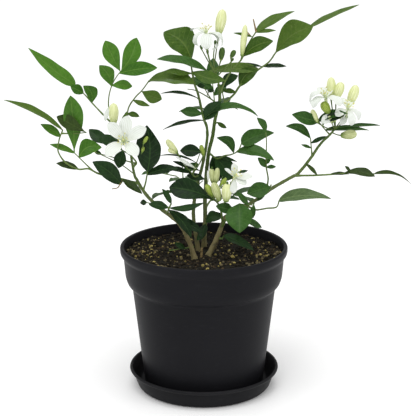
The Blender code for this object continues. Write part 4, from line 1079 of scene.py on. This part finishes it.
def rightSprays():
    spray = Spray("centre_bloom", ("right_stem", 0.92),
                  [(15, -15, 168), (12, -18, 176), (3, -20, 185)], (1.0, 0.7), "dark")
    spray.leaves((0.62, 162, 44.5, 20.5, 25, 2, 40, 0.7, -0.05))
    spray.flower(0.6, (24.2, -17, 193), 70, 45, 10, (94, 10, 15.5, 7.5, 30), (137, -15, 13.5, 3.5, 50),
                 (8, 15, 17.5, 7.5, 30), (335, 30, 14, 8, 40), (262, 20, 15, 7, 50))
    spray.buds((0.7, (8, -18, 193.8), 96, 13, 5.5, "shaded"),
               (0.6, (13.7, -24, 179.6), 109, 17, 7.6, "shaded"), (0.5, (19.3, -26, 179.3), 86, 16.2, 8.8),
               (0.8, (8, -22, 183), 120, 12, 5.5, "yellow"))

    spray = Spray("front_low", ("right_stem", 0.8),
                  [(20, -17, 161), (26, -22, 170), (31, -25, 177)], (0.9, 0.6), "mid")
    spray.leaves((1, 270, 28, 24.5, 8, 40, 14), (0.67, 162, 17, 10, 30, 10),
                 (0.74, -39.5, 34, 7.5, 50, -20, 20, 0.6, -0.09))
    spray.pinnate(0.98, -4, 0, 13, 0, (0.6, 130, 16, 6, 30, 10), (1, -95, 12, 6, 30, 20))

    spray = Spray("right_low", ("right_bough", 0.32),
                  [(46, -5, 166), (56, -7, 168), (64, -7, 169), (66.5, -7, 175)], (0.8, 0.6), "pale")
    spray.leaves((1, 7.5, 49.5, 13.5, 50, 20, 50, 0.38, 0.03))

    spray = Spray("right_upright", ("right_bough", 0.6),
                  [(57, 4, 192), (55, 3, 205), (55, 0, 226), (54, -3, 236)], (0.8, 0.45), "mid")
    spray.leaves((0.38, 2, 9, 4, 30), (0.38, 132, 12, 7, 30), (0.44, 50, 6.5, 4.5, 30),
                 (1, 121, 16, 7, 30, 10, 20, 0.5, -0.09))

    spray = Spray("right_near", ("right_bough", 0.55), [(58, -3, 185), (59, -10, 190)], (0.9, 0.7), "mid")
    spray.leaves((0.7, 193, 22, 14.5, 20, 12, 14), (0.1, 225, 11, 5, 35, 20, 14))

    spray = Spray("soil_leaf", ("right_stem", 0.5), [(16, -10, 141), (18, -11, 144)], (0.8, 0.6), "dark")
    spray.leaves((1, -25, 31, 10, 45, 10, 50, 0.4, -0.03))

    spray = Spray("right_bloom", ("right_upper_bough", 1), [(116, 11, 236)], (1.0, 0.9), "mid")
    spray.pinnate(0.2, 135, 8, 17, -10, (0.95, 161, 28.5, 12.5, 30, 22, 20, 0.5, 0.02),
                  (1, 20, 29, 9.5, 50, 24, 24, 0.4, 0.07), (0.35, -2.5, 41, 8, 62, -10, 20, 0.4))
    spray.leaves((1, -1, 46, 5.5, 66, -22, 16, 0.6))
    spray.flower(0.9, (108.3, 8.3, 254), 100, 15, 9, (196, 0, 26, 8, 200), (205, 33, 20, 11, 120),
                 (342, 35, 20, 11, 120), (120, -50, 18, 8, 60), (50, -50, 18, 8, 60))
    spray.flower(0.9, (125, 8.5, 246.2), 85, 30, 9, (318, 0, 18, 8, 124), (285, 25, 18, 8, 110),
                 (203, 20, 14, 9, 60), (118, -30, 14, 7, 60), (50, -50, 15, 7, 60))
    spray.buds((1, (112, 15, 262.2), 91, 18.7, 8.1), (1, (116.2, 13, 261.7), 73, 15.8, 8.5),
               (1, (128, 14, 256.6), 71, 18.5, 9), (0.5, (121.3, 8, 230.4), 6, 13.6, 8.4, "shaded"),
               (0.8, (100, 8, 242), 114, 12.7, 5.2), (0.9, (109.6, 5, 251.2), 121, 11.4, 8, "yellow"))

    spray = Spray("right_shoot", ("right_upper_bough", 0.5),
                  [(95, 7, 219), (94, 6, 228)], (0.6, 0.5), "mid")
    spray.leaves((1, 156, 25.5, 8.5, 30, -18, 20, 0.5, -0.15), (0.36, 161, 10, 3.2, 40, 0, 14))
    spray.leaves((0.7, 30, 17, 4.4, 35, 24, 14), tint="dark")

    spray = Spray("right_long", ("right_bough", 0.985),
                  [(99, 1, 196), (121, -1, 198), (131, -3, 200), (141, -5, 199), (150, -6, 199)],
                  (0.9, 0.6), "dusk")
    spray.leaves((0.4, 2, 18, 4, 50, 5), (0.68, 132, 8, 4, 50),
                 (0.58, -1, 29.5, 9.5, 50, 20, 30, 0.6, 0.07), (1, -19, 38, 5, 60, -12, 50, 0.3, 0.08),
                 (0.24, 135, 16, 4.3, 40, 0, 14))


def backSprays():
    # the side that the front view hides: sprays that lean away, grown by rule in a space each
    spray = Spray("back_left", ("mid_stem_left", 0.28),
                  [(-11, 19, 173), (-16, 37, 176), (-21, 55, 178), (-26, 71, 178)], (1.0, 0.5), "mid")
    spray.grow(9, 5, 25, 0.2, ((-64, 20, 150), (-3, 112, 196)))

    spray = Spray("back_right", ("mid_stem_right", 0.23),
                  [(4, 28, 163), (10, 46, 166), (14.5, 62, 168), (19, 77, 168)], (1.0, 0.5), "mid")
    spray.grow(15, 5, 26, 0.2, ((2, 26, 140), (72, 120, 192)))

    spray = Spray("back_high", ("mid_stem_right", 0.79),
                  [(10, 29, 248), (10, 43, 250), (10, 57, 250)], (0.9, 0.5), "mid")
    spray.grow(2, 4, 24, 0.3, ((-40, 26, 200), (35, 96, 300)))


strays = {      # small things that no solid stands for: rods, buds, then blades from foot to tip, by heap
    "twigs": (([(-55.1, -28, 216.6), (-52.5, -35, 225.3), (-50.9, -38, 233.8)], 0.6, 0.4),
              ([(-8.5, -18.3, 136), (-21, -20, 134.4), (-30.6, -21, 133.2)], 0.7, 0.45),
              ([(-59, -24, 202.5), (-71.9, -27, 212.9), (-92.6, -30, 224.1)], 0.55, 0.35),
              ([(12, 13, 257), (6.3, 12, 262.3), (-5.9, 8, 270.1), (-14.2, 6, 272.2)], 0.7, 0.35),
              ([(6.3, 12, 262.3), (1.5, 8, 271), (-0.1, 7, 274.7)], 0.55, 0.35),
              ([(3, 10, 266), (4.5, 9, 269), (9, 8, 270.6)], 0.5, 0.35),
              ([(9, 10, 287), (2.5, 6, 299), (-1.6, 3, 307)], 0.6, 0.5),
              ([(9, 10, 288), (8.5, 8, 301), (9.7, 6, 311)], 0.6, 0.5),
              ([(9, 10, 286), (5, 7, 297), (3.5, 4, 303)], 0.6, 0.5),
              ([(13, 10, 284), (20, 8, 292), (24, 8, 296)], 0.6, 0.5)),
    "dry": (([(-2.4, -17, 124), (-2, -18.5, 130), (-1.6, -20, 135.3)], 1.3, 0.8),
            ([(-70, -30.5, 200.5), (-73.5, -34, 194), (-78.8, -35, 192.8)], 0.6, 0.4),
            ([(45.5, 13, 321), (44.1, 14, 326.9), (42.9, 14, 332.1)], 0.9, 0.5),
            ([(41, 14, 317), (38.4, 14, 320), (35.4, 14, 324.3)], 0.7, 0.5)),
    # a bud dimmed by painted shade
    "shadedBuds": (((10.6, -20, 194.4), 84, 13.4, 5),),
    "greenBuds": (((-1.6, 3, 307), 100, 4.5, 2.6), ((9.7, 6, 311), 85, 4, 2.4), ((3.5, 4, 303), 95, 4, 2.4),
                  ((24, 8, 296), 60, 3.5, 2.2), ((7.2, -18.6, 205.4), 90, 3.2, 1.7),
                  ((20.4, -27, 194), 88, 3.4, 1.8), ((104.7, 6, 240.3), 80, 6, 2.6)),
    "yellowBuds": (((-50.9, -38, 233.4), 60, 7, 3.2), ((-52.3, -35.5, 225.3), 75, 5, 2.8),
                   ((115.8, 6, 245.5), 70, 5.5, 3.6), ((112.5, 6, 246), 100, 4.5, 3),
                   ((118.5, 6, 246), 45, 4, 2.6), ((14.6, -23, 192), 66, 7.5, 2.6),
                   ((17.6, -23, 192), 80, 8, 2.8)),
    "paleBuds": (((-92.4, -30, 224), 150, 5, 2), ((112.8, 4, 242.9), 118, 7, 4.4),
                 ((114.5, 5, 243.5), 80, 6, 4)),
    "petals": (((-80.5, -23, 262), (-84.2, -25.5, 249.5), 4.6), ((113.3, 6, 249), (102.4, 1.5, 242.5), 8.5),
               ((3.7, -22, 195.7), (3.1, -23.5, 207), 2.2), ((-7.3, -3, 203.2), (-25.2, -5, 214.4), 3.4),
               ((-9.5, -3, 205.4), (-18.2, -5, 208.1), 2.6), ((125.4, 4, 247.8), (119.2, 2, 241.1), 6.5),
               ((110.7, 5, 242.3), (106.9, 3, 248.9), 4)),
    # dark leaves in the crown's gaps, whose dark tint is partly painted shade
    "dark": (((0.6, 7, 274.7), (-6, 5.5, 275.2), 4.6), ((3.3, 8, 270.1), (9.4, 7.5, 270.8), 4),
             ((-16.5, -20, 134.4), (-26, -23.5, 141.5), 5), ((-25.6, -22, 165.4), (-0.6, -30, 152), 8.5),
             ((1.5, 17, 150.4), (17, 13, 157.2), 9), ((0.6, 9, 190.5), (-15.8, 6, 195.1), 7),
             ((-3.4, 9, 198.1), (-28.1, 4, 208.3), 4.6), ((28.5, -12, 201.4), (39.1, -10, 203), 2.8),
             ((102.1, 7, 243.2), (124.3, 0, 251.9), 7.5)),
}
strayBlade = {**leafPlan, "wave": 0.06, "twist": 14, "form": {"peak": 0.55, "fullness": 0.8, "curl": 1.4}}


def makeStrays():
    for kind in ("twigs", "dry"):
        for points, foot, tip in strays[kind]:
            addTube(heaps[kind], smoothPath(points, 0.8), taper(foot, tip), 8)
    for kind in ("shadedBuds", "greenBuds", "yellowBuds", "paleBuds"):
        for base, bear, length, width in strays[kind]:
            addBud(heaps[kind], np.array(base), heading(bear, 0), length, width)
    for kind in ("petals", "dark"):
        for base, tip, width in strays[kind]:
            way = np.array(tip) - base
            length = np.linalg.norm(way)
            way = way / length
            at = (np.array(base), way, faceOf(way, 25), length, width, 30, 14)
            addBlade(heaps[kind], at, bladeForm(strayBlade), strayBlade, veined=kind == "dark")


makeLimbs()
print("stems and boughs stand")
leftSprays()
middleSprays()
rightSprays()
backSprays()
makeStrays()
for heap in heaps.values():
    heap.build()
print("foliage and blossom stand")
